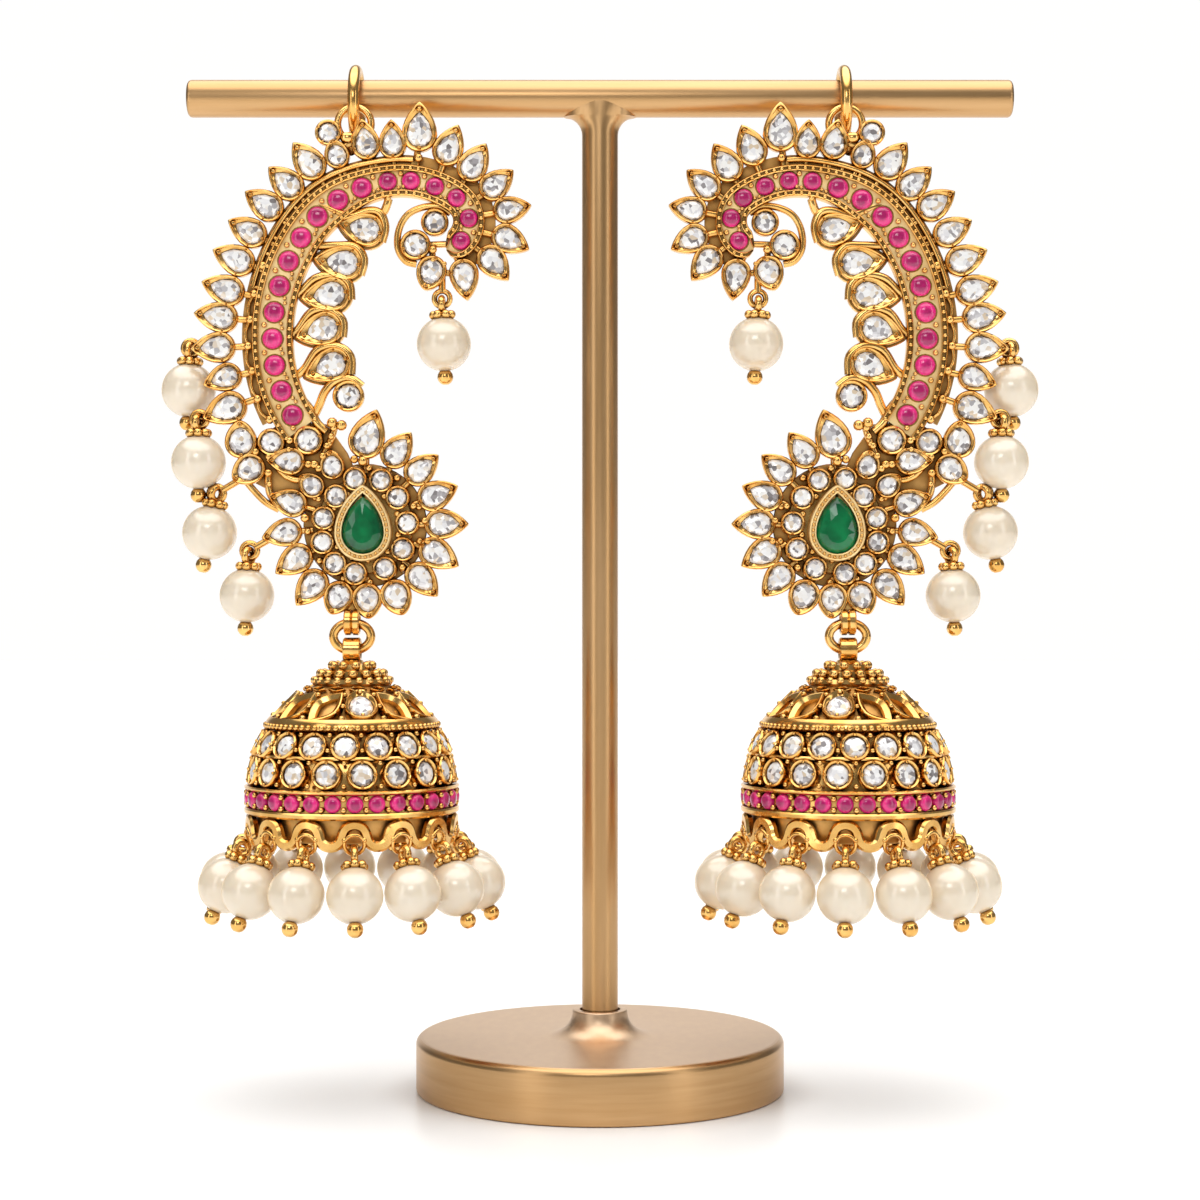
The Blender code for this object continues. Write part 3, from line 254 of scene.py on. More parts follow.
CRYSTAL = crystal_finish()
RUBY = glossy_stone(
    "ruby", (0.84, 0.022, 0.24), (0.38, 0.008, 0.11), 0.16, 380.0, shaded=True,
    Coat_Weight=0.6, Coat_Roughness=0.08,
    Subsurface_Weight=0.15, Subsurface_Radius=(0.001, 0.0003, 0.0005),
)
EMERALD = glossy_stone(
    "emerald", (0.0, 0.19, 0.055), (0.0, 0.06, 0.02), 0.08, 260.0,
    Coat_Weight=0.2, Coat_Roughness=0.08,
)
PEARL = glossy_stone(
    "pearl", (0.80, 0.73, 0.63), (0.77, 0.68, 0.56), 0.30, 120.0,
    Coat_Weight=1.0, Coat_Roughness=0.20, Coat_IOR=1.9, Coat_Tint=(1.0, 0.96, 0.88, 1.0),
    Sheen_Weight=0.7, Sheen_Roughness=0.35, Sheen_Tint=(1.0, 0.72, 0.38, 1.0),
    Subsurface_Weight=0.2, Subsurface_Radius=(0.002, 0.0015, 0.001),
)
print("materials", len(bpy.data.materials))

# %% [markdown]
# ## Tools
# A shell is a list of points and a list of faces. The next cell makes shells by stacking rings of points,
# which is how a lathe or a roller makes most of this jewel's parts.

# %% Shells from rings of points
def stack_rings(rings, closed=False):
    """Walls between rings of equal count. Open stacks get a flat face at each end."""
    count = len(rings[0])
    points = [Vector(point) for ring in rings for point in ring]
    faces = []
    levels = len(rings) if closed else len(rings) - 1
    for level in range(levels):
        here, above = level * count, (level + 1) % len(rings) * count
        for step in range(count):
            beside = (step + 1) % count
            faces.append((here + step, here + beside, above + beside, above + step))
    if not closed:
        last = (len(rings) - 1) * count
        faces.append(tuple(reversed(range(count))))
        faces.append(tuple(range(last, last + count)))
    return points, faces


def circle(radius, height, count):
    angles = [2 * math.pi * step / count for step in range(count)]
    return [(radius * math.cos(angle), radius * math.sin(angle), height) for angle in angles]


def lathe(profile, count):
    """Solid turned round z from (radius, height) pairs, lowest first. The ends are closed flat."""
    return stack_rings([circle(radius, height, count) for radius, height in profile])


def ball(radius, rings, count):
    profile = []
    for step in range(1, rings):
        angle = math.pi * step / rings - math.pi / 2
        profile.append((radius * math.cos(angle), radius * math.sin(angle)))
    return lathe(profile, count)


def torus(radius, wire, steps, sides, height_radius=None):
    """Ring of round wire that lies in the xy plane, round or oval."""
    tall = radius if height_radius is None else height_radius
    rings = []
    for step in range(steps):
        angle = 2 * math.pi * step / steps
        centre = Vector((radius * math.cos(angle), tall * math.sin(angle), 0))
        out = Vector((tall * math.cos(angle), radius * math.sin(angle), 0)).normalized()
        ring = []
        for side in range(sides):
            turn = 2 * math.pi * side / sides
            ring.append(centre + wire * (out * math.cos(turn) + Vector((0, 0, math.sin(turn)))))
        rings.append(ring)
    return stack_rings(rings, closed=True)


def moved(shell, matrix):
    return [matrix @ Vector(point) for point in shell[0]], shell[1]


def merged(shells):
    points, faces = [], []
    for shell_points, shell_faces in shells:
        start = len(points)
        points += shell_points
        faces += [tuple(start + index for index in face) for face in shell_faces]
    return points, faces


# Angles in degrees from which an edge stays sharp. The first keeps every facet flat, the last is for wire.
FACETED, WAVED, CREASED, STEPPED, BEVELLED, TURNED, ROUNDED = 0.0, 25.0, 30.0, 35.0, 40.0, 50.0, 60.0


def to_mesh(shell, material, sharp_angle):
    """Mesh with its faces turned outwards."""
    mesh = bpy.data.meshes.new("piece")
    mesh.from_pydata(shell[0], [], shell[1])
    builder = bmesh.new()
    builder.from_mesh(mesh)
    bmesh.ops.recalc_face_normals(builder, faces=builder.faces)
    builder.to_mesh(mesh)
    builder.free()
    mesh.materials.append(material)
    if sharp_angle > FACETED:
        mesh.shade_smooth()
        mesh.set_sharp_from_angle(angle=math.radians(sharp_angle))
    return mesh


print("faces of a small ball", len(ball(1.0, rings=6, count=10)[1]))

# %% [markdown]
# What repeats is placed with Geometry Nodes. One tree puts a copy of an item on every point of a cloud, with
# the turn and size that the point carries. Another strings beads along a path, and a third draws a round
# wire along a path. Each ends in Realize Instances and Set Material, so that the result is a plain mesh.

# %% First and last nodes of a tree
def start_tree(name, inputs):
    tree = bpy.data.node_groups.new(name, "GeometryNodeTree")
    tree.interface.new_socket("Geometry", in_out="INPUT", socket_type="NodeSocketGeometry")
    for socket_name, socket_type in inputs:
        tree.interface.new_socket(socket_name, in_out="INPUT", socket_type=socket_type)
    tree.interface.new_socket("Geometry", in_out="OUTPUT", socket_type="NodeSocketGeometry")
    return tree, tree.nodes.new("NodeGroupInput")


def end_tree(tree, geometry, finish):
    real = add_node(tree, "GeometryNodeRealizeInstances", [(geometry, "Geometry")])
    paint = add_node(tree, "GeometryNodeSetMaterial", [(real.outputs[0], "Geometry"), (finish, "Material")])
    output = tree.nodes.new("NodeGroupOutput")
    tree.links.new(paint.outputs[0], output.inputs[0])
    return tree


# %% Three node trees
def copies_tree():
    tree, given = start_tree("copies_on_points", [
        ("Item", "NodeSocketObject"), ("Finish", "NodeSocketMaterial"),
    ])
    item = add_node(tree, "GeometryNodeObjectInfo", [(given.outputs["Item"], "Object")])
    turn = add_node(tree, "GeometryNodeInputNamedAttribute", data_type="FLOAT_VECTOR", Name="turn")
    size = add_node(tree, "GeometryNodeInputNamedAttribute", data_type="FLOAT_VECTOR", Name="size")
    rotation = add_node(tree, "FunctionNodeEulerToRotation", [(turn.outputs["Attribute"], "Euler")])
    copies = add_node(tree, "GeometryNodeInstanceOnPoints", [
        (given.outputs["Geometry"], "Points"), (item.outputs["Geometry"], "Instance"),
        (rotation.outputs[0], "Rotation"), (size.outputs["Attribute"], "Scale"),
    ])
    return end_tree(tree, copies.outputs["Instances"], given.outputs["Finish"])


def beads_tree():
    tree, given = start_tree("beads_on_path", [
        ("Spacing", "NodeSocketFloat"), ("Bead radius", "NodeSocketFloat"), ("Finish", "NodeSocketMaterial"),
    ])
    curve = add_node(tree, "GeometryNodeMeshToCurve", [(given.outputs["Geometry"], "Mesh")])
    points = add_node(tree, "GeometryNodeResampleCurve", [
        (curve.outputs[0], "Curve"), (given.outputs["Spacing"], "Length"),
    ], mode="LENGTH")
    bead = add_node(
        tree, "GeometryNodeMeshIcoSphere", [(given.outputs["Bead radius"], "Radius")], Subdivisions=2
    )
    smooth = add_node(tree, "GeometryNodeSetShadeSmooth", [(bead.outputs["Mesh"], "Geometry")])
    copies = add_node(tree, "GeometryNodeInstanceOnPoints", [
        (points.outputs[0], "Points"), (smooth.outputs[0], "Instance"),
    ])
    return end_tree(tree, copies.outputs["Instances"], given.outputs["Finish"])


def wire_tree():
    tree, given = start_tree("wire_on_path", [
        ("Wire radius", "NodeSocketFloat"), ("Finish", "NodeSocketMaterial"),
    ])
    curve = add_node(tree, "GeometryNodeMeshToCurve", [(given.outputs["Geometry"], "Mesh")])
    profile = add_node(
        tree, "GeometryNodeCurvePrimitiveCircle", [(given.outputs["Wire radius"], "Radius")], Resolution=8
    )
    wire = add_node(tree, "GeometryNodeCurveToMesh", [
        (curve.outputs[0], "Curve"), (profile.outputs[0], "Profile Curve"),
    ], Fill_Caps=True)
    smooth = add_node(tree, "GeometryNodeSetShadeSmooth", [(wire.outputs[0], "Geometry")])
    return end_tree(tree, smooth.outputs[0], given.outputs["Finish"])


COPIES, BEADS, WIRE = copies_tree(), beads_tree(), wire_tree()
print("node trees", COPIES.name, BEADS.name, WIRE.name)


# %% Running a tree
def run_tree(tree, mesh, values):
    """Runs a tree on a mesh once and returns the plain mesh that it makes."""
    holder = bpy.data.objects.new("holder", mesh)
    bpy.context.scene.collection.objects.link(holder)
    modifier = holder.modifiers.new("tree", "NODES")
    modifier.node_group = tree
    for item in tree.interface.items_tree:
        if item.in_out == "INPUT" and item.name in values:
            modifier[item.identifier] = values[item.name]
    graph = bpy.context.evaluated_depsgraph_get()
    result = bpy.data.meshes.new_from_object(holder.evaluated_get(graph))
    bpy.data.objects.remove(holder)
    return result


def copies(item, places, material):
    """Copies of a mesh at (place matrix, size) pairs."""
    cloud = bpy.data.meshes.new("cloud")
    cloud.from_pydata([place.translation for place, size in places], [], [])
    turn = cloud.attributes.new("turn", "FLOAT_VECTOR", "POINT")
    scale = cloud.attributes.new("size", "FLOAT_VECTOR", "POINT")
    for index, (place, size) in enumerate(places):
        turn.data[index].vector = place.to_euler()
        scale.data[index].vector = size
    holder = bpy.data.objects.new("item", item)
    bpy.context.scene.collection.objects.link(holder)
    result = run_tree(COPIES, cloud, {"Item": holder, "Finish": material})
    bpy.data.objects.remove(holder)
    return result


def path_mesh(points, closed=False):
    mesh = bpy.data.meshes.new("path")
    edges = [(step, step + 1) for step in range(len(points) - 1)]
    if closed:
        edges.append((len(points) - 1, 0))
    mesh.from_pydata(points, edges, [])
    return mesh


def beads(points, spacing, radius, material, closed=False):
    values = {"Spacing": spacing, "Bead radius": radius, "Finish": material}
    return run_tree(BEADS, path_mesh(points, closed), values)


def wire(points, radius, material):
    return run_tree(WIRE, path_mesh(points), {"Wire radius": radius, "Finish": material})


# %% [markdown]
# A finished piece is one mesh with its place in its points. It rides a body of the frame, stands for the
# nodes it replaces, and holds a slot for each of its finishes. Its mirror image makes the right earring.

# %% Finishing a piece
def finish_piece(name, meshes, place, body, replaced, both_sides=True):
    """Joins meshes into one piece, sets it in place, and makes its mirror image on the right."""
    builder = bmesh.new()
    materials = []
    for mesh in meshes:
        for material in mesh.materials:
            if material not in materials:
                materials.append(material)
        slots = [materials.index(material) for material in mesh.materials]
        done = len(builder.faces)
        builder.from_mesh(mesh)
        builder.faces.ensure_lookup_table()
        for face in builder.faces[done:]:
            face.material_index = slots[face.material_index]
        bpy.data.meshes.remove(mesh)
    joined = bpy.data.meshes.new(name)
    builder.to_mesh(joined)
    builder.free()
    for material in materials:
        joined.materials.append(material)
    joined.transform(place)
    pieces = [("left", joined)] if both_sides else [("", joined)]
    if both_sides:
        mirrored = joined.copy()
        mirrored.transform(Matrix.Diagonal((-1, 1, 1, 1)))
        mirrored.flip_normals()
        pieces.append(("right", mirrored))
    for side, mesh in pieces:
        prefix = side + "_" if side else ""
        mesh.name = prefix + name
        piece = bpy.data.objects.new(prefix + name, mesh)
        bpy.context.scene.collection.objects.link(piece)
        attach(piece, body.replace("SIDE", side))
        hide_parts(*[node.replace("SIDE", side) for node in replaced])
    triangles = sum(len(polygon.vertices) - 2 for polygon in joined.polygons)
    print(name, triangles, "triangles")


def turned_to(x, y, z, degrees=0.0):
    return Matrix.Translation((x, y, z)) @ Matrix.Rotation(math.radians(degrees), 4, "Z")


# %% [markdown]
# ## The stand
# The base and its boss are turned in one piece, with a soft rim and a hollow flare up to the boss. The post
# stands in the boss, and at its top small fillets widen into the bar.

# %% Stand
BASE_RADIUS, BASE_HEIGHT, BASE_EDGE, BASE_FOOT = 22.0, 6.5, 0.9, 0.4
BASE_TOP_RING, BASE_TOP_STEP, BASE_SIDES = 0.6, 0.02, 128
BOSS_RADIUS, BOSS_HEIGHT, BOSS_EDGE = 3.3, 3.0, 0.2
FLARE_REACH, FLARE_HEIGHT, FLARE_END, FLARE_STEPS = 3.2, 0.9, 85, 8
POST_RADIUS, SOCKET_GAP, SOCKET_DEPTH = 2.15, 0.3, 2.0
# Turned parts end this far from their axis, where a flat face closes them.
NEAR_AXIS = 0.1


def arc_profile(radius, height, bend, first, last, steps):
    """Points of a rounded edge: bend is its radius, from the first to the last angle in degrees."""
    angles = [math.radians(first + (last - first) * step / steps) for step in range(steps + 1)]
    return [(radius + bend * math.cos(angle), height + bend * math.sin(angle)) for angle in angles]


side_profile = [(NEAR_AXIS, 0.0), (BASE_RADIUS - BASE_FOOT, 0.0)]
side_profile += arc_profile(BASE_RADIUS - BASE_FOOT, BASE_FOOT, BASE_FOOT, -60, 0, 3)
side_profile += arc_profile(BASE_RADIUS - BASE_EDGE, BASE_HEIGHT - BASE_EDGE, BASE_EDGE, 0, 90, 8)
top_profile = [(BASE_RADIUS - BASE_EDGE - BASE_TOP_STEP, BASE_HEIGHT)]
top_profile.append((BASE_RADIUS * BASE_TOP_RING, BASE_HEIGHT))
for step in range(FLARE_STEPS + 1):
    turn = math.radians(FLARE_END * step / FLARE_STEPS)
    top_profile.append((
        BOSS_RADIUS + FLARE_REACH * (1 - math.sin(turn)),
        BASE_HEIGHT + FLARE_HEIGHT * BOSS_HEIGHT * (1 - math.cos(turn)),
    ))
boss_top = BASE_HEIGHT + BOSS_HEIGHT
top_profile += arc_profile(BOSS_RADIUS - BOSS_EDGE, boss_top - BOSS_EDGE, BOSS_EDGE, 0, 90, 3)
top_profile += [(POST_RADIUS + SOCKET_GAP, boss_top), (POST_RADIUS + SOCKET_GAP, boss_top - SOCKET_DEPTH)]
top_profile.append((NEAR_AXIS, boss_top - SOCKET_DEPTH))
base_mesh = to_mesh(lathe(side_profile + top_profile, BASE_SIDES), BRUSHED_BASE, BEVELLED)
base_mesh.materials.append(SATIN_TOP)
for polygon in base_mesh.polygons:
    if polygon.center[2] > BASE_HEIGHT - 0.05:
        polygon.material_index = 1
TO_METRES = Matrix.Scale(MM, 4)
finish_piece(
    "stand_base_turned", [base_mesh], TO_METRES, "stand", ["stand_base"], both_sides=False
)
print("base profile points", len(side_profile) + len(top_profile))

# %% Post and bar
BAR_HALF, BAR_EDGE, TEE_FILLET, TEE_STEPS, TEE_SIDES = 49.4, 0.5, 2.2, 8, 48
tee_foot = boss_top - SOCKET_DEPTH + SOCKET_GAP
fillet_start = BAR_Z - BAR_RADIUS - TEE_FILLET
levels = [(tee_foot, 0.0), (fillet_start, 0.0)]
for step in range(1, TEE_STEPS + 1):
    turn = math.radians(90 * step / TEE_STEPS)
    levels.append((fillet_start + TEE_FILLET * math.sin(turn), TEE_FILLET * (1 - math.cos(turn))))
levels.append((BAR_Z, TEE_FILLET))
turns = [2 * math.pi * side / TEE_SIDES for side in range(TEE_SIDES)]
post_rings = [
    [((POST_RADIUS + flare) * math.cos(turn), POST_RADIUS * math.sin(turn), height) for turn in turns]
    for height, flare in levels
]
post_mesh = to_mesh(stack_rings(post_rings), BRUSHED_POST, TURNED)
bar_profile = [(NEAR_AXIS, -BAR_HALF)]
bar_profile += arc_profile(BAR_RADIUS - BAR_EDGE, -BAR_HALF + BAR_EDGE, BAR_EDGE, -90, 0, 4)
bar_profile += arc_profile(BAR_RADIUS - BAR_EDGE, BAR_HALF - BAR_EDGE, BAR_EDGE, 0, 90, 4)
bar_profile.append((NEAR_AXIS, BAR_HALF))
along_x = Matrix.Translation((0, 0, BAR_Z)) @ Matrix.Rotation(math.pi / 2, 4, "Y")
bar_mesh = to_mesh(moved(lathe(bar_profile, TEE_SIDES), along_x), BRUSHED_BAR, TURNED)
finish_piece(
    "stand_tee_brushed", [post_mesh, bar_mesh], TO_METRES, "stand", ["stand_tee"],
    both_sides=False
)

# %% [markdown]
# ## Collets
# A collet is the metal cup round a stone. Its outline is a pear, from a pointed petal to a near circle, and
# one function draws it. Walls, rim and seat are rings of that outline, each set a little further in.

# %% Pear outline
TIP_ROUND = 1.95


def pear_outline(half, tip, count=24):
    """Outline points with the tip on +x: half is the half width, and tip the tip's distance."""
    outline = []
    for step in range(count):
        turn = 2 * math.pi * step / count
        along = math.cos(turn)
        if along > 0:
            reach = min(tip / half - 1.0, 1.0)
            side = (1 - reach) * abs(math.sin(turn)) + reach * (1 - along ** TIP_ROUND)
            outline.append(Vector((tip * along, math.copysign(half * side, math.sin(turn)))))
        else:
            outline.append(Vector((half * along, half * math.sin(turn))))
    return outline


def inset(outline, distance):
    """The outline drawn in by a distance, more at its tip so that the rim keeps its width."""
    result = []
    count = len(outline)
    for step, point in enumerate(outline):
        along = outline[(step + 1) % count] - outline[step - 1]
        normal = Vector((along.y, -along.x)).normalized()
        to_next = (outline[(step + 1) % count] - point).normalized()
        spread = max(abs(normal.dot(Vector((to_next.y, -to_next.x)))), 0.5)
        result.append(point - normal * distance / spread)
    return result


def ring_at(outline, height):
    return [(point.x, point.y, height) for point in outline]


# %% Cup of a collet
RIM_TOP = 1.64
PRONG = 0.27
RIM_PROFILE = (
    # distance in from the outline, height
    (0.16, 0.0), (0.0, 0.5), (0.0, 1.40), (0.06, 1.55), (0.15, RIM_TOP), (0.27, 1.57), (0.36, 1.40),
)
SEAT_HEIGHT, SEAT_FOOT, SEAT_LAP, SEAT_LIP, PRONG_HEIGHT = 1.30, 1.0, 0.05, 0.08, 1.62


def collet_shells(outer, inner, prongs, count=28):
    """Cup and its prongs: outer and inner are the half width and tip of the cup and of its stone."""
    outline, seat = pear_outline(*outer, count), pear_outline(*inner, count)
    rings = [ring_at(inset(outline, depth), height) for depth, height in RIM_PROFILE]
    rings += [ring_at(inset(seat, -SEAT_LAP), SEAT_HEIGHT), ring_at(seat, SEAT_HEIGHT - SEAT_LIP)]
    rings.append(ring_at(seat, SEAT_FOOT))
    shells = [stack_rings(rings)]
    for x, y, radius in prongs:
        shells.append(moved(ball(radius, rings=6, count=8), Matrix.Translation((x, y, PRONG_HEIGHT))))
    return shells


print("heights of a cup", [height for depth, height in RIM_PROFILE])

# %% Cut stone
STONE_GAP, STONE_SINK, STONE_DEPTH = 0.02, 0.06, 0.2
CROWN_SHARE, CROWN_RISE, TABLE_SHARE = 0.82, 0.62, 0.50


def stone_shell(half, tip, girdle_height=SEAT_HEIGHT - STONE_SINK, rise=0.34, count=12):
    """Cut stone: a girdle, a crown of triangular facets, and a table."""
    girdle = pear_outline(half - STONE_GAP, tip - STONE_GAP, count)
    crown = [point * CROWN_SHARE for point in pear_outline(half, tip, 2 * count)][1::2]
    table = [point * TABLE_SHARE for point in pear_outline(half, tip, count)]
    points = ring_at(girdle, girdle_height) + ring_at(crown, girdle_height + CROWN_RISE * rise)
    points = [Vector(point) for point in points + ring_at(table, girdle_height + rise)]
    bottom = [Vector((point.x, point.y, girdle_height - STONE_DEPTH)) for point in girdle]
    faces = [tuple(reversed(range(3 * count, 4 * count))), tuple(range(2 * count, 3 * count))]
    for step in range(count):
        beside = (step + 1) % count
        faces.append((3 * count + step, 3 * count + beside, beside, step))
        faces.append((step, beside, count + step))
        faces.append((beside, count + beside, count + step))
        faces.append((count + step, 2 * count + beside, 2 * count + step))
        faces.append((count + step, count + beside, 2 * count + beside))
    return points + bottom, faces


print("faces of a cut stone", len(stone_shell(1.0, 1.5)[1]))

# %% Kinds of collet
COLLET_SIZES = (
    # kind, half width and tip of the cup, the same of its stone, and its prongs as (x, y, radius)
    ("pear", (1.86, 3.40), (1.33, 2.28), (
        (2.56, 0, PRONG), (-1.42, 0.0, 0.20), (-0.2, 1.44, 0.13), (-0.2, -1.44, 0.13),
    )),
    ("leaf", (2.00, 3.70), (1.44, 2.20), (
        (2.60, 0, PRONG), (-1.50, 0.0, 0.22), (0.9, 1.28, 0.15), (-0.6, -1.42, 0.15),
    )),
    ("short", (1.70, 2.34), (1.24, 1.56), (
        (1.86, 0, 0.24), (-1.32, 0.0, 0.20),
    )),
    ("round", (1.58, 1.60), (1.18, 1.19), (
        (1.27, 0, 0.17), (-1.27, 0, 0.17), (0, 1.27, 0.17), (0, -1.27, 0.17),
    )),
)
COLLET_KINDS = {}
for kind, outer, inner, prongs in COLLET_SIZES:
    COLLET_KINDS[kind] = (
        to_mesh(merged(collet_shells(outer, inner, prongs)), GOLD, BEVELLED),
        to_mesh(stone_shell(*inner), CRYSTAL, FACETED),
    )
print("collet kinds", {kind: len(cup.polygons) for kind, (cup, stone) in COLLET_KINDS.items()}, "faces")


def collets_at(kind, places):
    """Copies of one kind of collet and of its stone."""
    cup, stone = COLLET_KINDS[kind]
    return [copies(cup, places, GOLD), copies(stone, places, CRYSTAL)]


def set_collets(rows, lift=0.0):
    """Meshes of the collets and stones in rows of (x, y, direction of the tip, size, kind)."""
    meshes = []
    for kind in COLLET_KINDS:
        places = [
            (turned_to(x, y, lift, direction), (size, size, 1.0))
            for x, y, direction, size, row_kind in rows if row_kind == kind
        ]
        if places:
            meshes += collets_at(kind, places)
    return meshes


# %% [markdown]
# ## The ribbon
# The ribbon's middle line is a chain of arcs that touch, as a jeweller draws it with a compass. Its section
# has a plain side wall, a polished edge line, a groove with a line of beads, a second polished line and the
# satin floor of the channel for the rubies.

# %% Ribbon
RIBBON_START, RIBBON_HEADING = Vector((-6.0, -40.0)), 125.0
RIBBON_ARCS = (
    # radius, sweep in degrees
    (18.5, 31.0),
    (21.8, 38.0),
    (14.1, 51.5),
    (11.2, 40.5),
    (3.3, 100.0),
)
RIBBON_LENGTH = sum(radius * math.radians(sweep) for radius, sweep in RIBBON_ARCS)
LOWER_WIDTH, UPPER_WIDTH, CURL_END = 4.8, 3.7, 1.9
TAPER_FROM, TAPER_TO = 0.55, 0.72
CURL_ROUND, CURL_LEAST = 0.97, 0.02


def spine_at(share):
    """Point and heading on the ribbon's middle line. Past its end the last arc goes on."""
    left = share * RIBBON_LENGTH
    point, heading = RIBBON_START.copy(), math.radians(RIBBON_HEADING)
    for row, (radius, sweep) in enumerate(RIBBON_ARCS):
        length = radius * math.radians(sweep)
        last = row == len(RIBBON_ARCS) - 1
        turn = (left if last else min(left, length)) / radius
        centre = point + radius * Vector((math.sin(heading), -math.cos(heading)))
        heading -= turn
        point = centre + radius * Vector((-math.sin(heading), math.cos(heading)))
        left -= length
        if left <= 0:
            break
    return point, heading


def half_width(share):
    blend = min(max((share - TAPER_FROM) / (TAPER_TO - TAPER_FROM), 0.0), 1.0)
    blend = blend * blend * (3 - 2 * blend)
    width = (LOWER_WIDTH + (UPPER_WIDTH - LOWER_WIDTH) * blend) / 2
    past = (share - 1.0) * RIBBON_LENGTH / CURL_END
    return width * math.sqrt(max(1.0 - past * past * CURL_ROUND, CURL_LEAST)) if past > 0 else width


def beside_spine(share, offset, height=0.0):
    """A point at an offset from the middle line, outwards if positive."""
    point, heading = spine_at(share)
    return Vector((point.x - offset * math.sin(heading), point.y + offset * math.cos(heading), height))


RIBBON_SECTION = (
    # distance in from the ribbon's edge, height
    (0.0, 0.05), (0.0, 1.58), (0.06, 1.71), (0.12, 1.76), (0.18, 1.72), (0.22, 1.46), (0.54, 1.46),
    (0.58, 1.71), (0.64, 1.76), (0.71, 1.70), (0.76, 1.22),
)
BEAD_LINE, CHANNEL_EDGE = 0.38, 0.76
BEAD_SPACING, BEAD_RADIUS, BEAD_HEIGHT, BEAD_STOP = 0.92, 0.27, 1.56, 0.6
SPINE_STEPS, END_STEPS = 96, 8
end_share = 1.0 + CURL_END / RIBBON_LENGTH
stations = [step / SPINE_STEPS for step in range(SPINE_STEPS + 1)]
stations += [1.0 + (end_share - 1.0) * step / END_STEPS for step in range(1, END_STEPS + 1)]
ribbon_rings = []
for share in stations:
    half = half_width(share)
    shrink = min(half, 1.0)
    section = [(-half + inwards * shrink, height) for inwards, height in RIBBON_SECTION]
    section += [(-offset, height) for offset, height in reversed(section)]
    ribbon_rings.append([beside_spine(share, offset, height) for offset, height in section])
ribbon_mesh = to_mesh(stack_rings(ribbon_rings), GOLD, CREASED)
ribbon_mesh.materials.append(SATIN_GOLD)
for number, polygon in enumerate(ribbon_mesh.polygons):
    if number % len(section) == len(RIBBON_SECTION) - 1:
        polygon.material_index = 1
bead_shares = [share for share in stations if share <= 1.0 + BEAD_STOP * (end_share - 1.0)]
bead_lines = [
    [beside_spine(share, side * (half_width(share) - BEAD_LINE), BEAD_HEIGHT) for share in bead_shares]
    for side in (-1, 1)
]
rim_beads = [beads(line, BEAD_SPACING, BEAD_RADIUS, GOLD) for line in bead_lines]
print("ribbon length", round(RIBBON_LENGTH, 1), "mm")

# %% [markdown]
# The rubies lie along the middle line, each in a thin collar of wire. Three grains of gold, raised from the
# channel's floor, fill the space between two stones.

# %% Rubies
RUBY_RUNS = (
    # number of stones, first place and last place as shares of the middle line, radius, spaces with grains
    (12, 0.037, 0.716, 1.20, 12),
    (5, 0.770, 0.998, 1.12, 4),
)
SPACE_GRAINS = (
    # place along the space as a share of the ribbon, place across as a share of its half width, radius
    (0.0, 0.42, 0.34), (-0.0055, -0.46, 0.24), (0.0060, -0.40, 0.24),
)
RUBY_GIRDLE, RUBY_RISE, RUBY_GAP = 1.20, 0.68, 0.02
COLLAR_GAP, COLLAR_WIRE, GRAIN_HEIGHT = 0.07, 0.09, 1.38
CABOCHON_PROFILE = (
    # radius, height as a share of its rise
    (1.0, 0.0), (0.97, 0.26), (0.89, 0.50), (0.77, 0.69),
    (0.61, 0.84), (0.42, 0.94), (0.21, 0.99), (0.03, 1.0),
)
CABOCHON_FOOT = (1.0, -0.3)
# Painted light on a ruby: painted shade darkens its middle, and a painted highlight lightens its rim.
RUBY_PAINTED_SHADE_DEPTH, RUBY_PAINTED_SHADE_EDGE, RUBY_PAINTED_SHADE_FADE, RUBY_PAINTED_RIM_HIGHLIGHT = 0.42, 0.95, 0.70, 0.18


def cabochon(rise, count=24):
    """Buff-top stone one unit in radius. Its shade attribute holds painted shade in the middle and a painted
    rim highlight.
    """
    profile = [CABOCHON_FOOT] + [(radius, share * rise) for radius, share in CABOCHON_PROFILE]
    mesh = to_mesh(lathe(profile, count), RUBY, ROUNDED)
    shade = mesh.attributes.new("shade", "FLOAT", "POINT")
    for vertex, row in zip(mesh.vertices, shade.data):
        across = math.hypot(vertex.co.x, vertex.co.y)
        row.value = RUBY_PAINTED_SHADE_DEPTH * min(max((RUBY_PAINTED_SHADE_EDGE - across) / RUBY_PAINTED_SHADE_FADE, 0.0), 1.0) - RUBY_PAINTED_RIM_HIGHLIGHT
    return mesh


ruby_mesh = cabochon(RUBY_RISE)
collar_mesh = to_mesh(torus(1.0, COLLAR_WIRE, steps=20, sides=6), GOLD, ROUNDED)
grain_mesh = to_mesh(ball(1.0, rings=6, count=10), GOLD, ROUNDED)


def grain_at(spot, radius):
    """Place and size of one ball of gold."""
    return Matrix.Translation(spot), (radius, radius, radius)


ruby_places, collar_places, grain_places = [], [], []
for count, first, last, radius, spaces in RUBY_RUNS:
    for step in range(count):
        share = first + (last - first) * step / (count - 1)
        point, heading = spine_at(share)
        place = turned_to(point.x, point.y, RUBY_GIRDLE)
        size = min(radius, half_width(share) - CHANNEL_EDGE - RUBY_GAP)
        ruby_places.append((place, (size, size, 1.0)))
        collar_places.append((place, (size + COLLAR_GAP, size + COLLAR_GAP, 1.0)))
        if step < spaces:
            middle = share + (last - first) / (count - 1) / 2
            for slant, side, grain in SPACE_GRAINS:
                spot = beside_spine(middle + slant, side * half_width(middle), GRAIN_HEIGHT)
                grain_places.append(grain_at(spot, grain))
ruby_parts = [copies(ruby_mesh, ruby_places, RUBY)]
ruby_parts += [copies(collar_mesh, collar_places, GOLD), copies(grain_mesh, grain_places, GOLD)]
finish_piece("ruby_row_set", ruby_parts, STAND_UP, "stand", ["SIDE_ruby_row"])
print("rubies", len(ruby_places), "grains", len(grain_places))

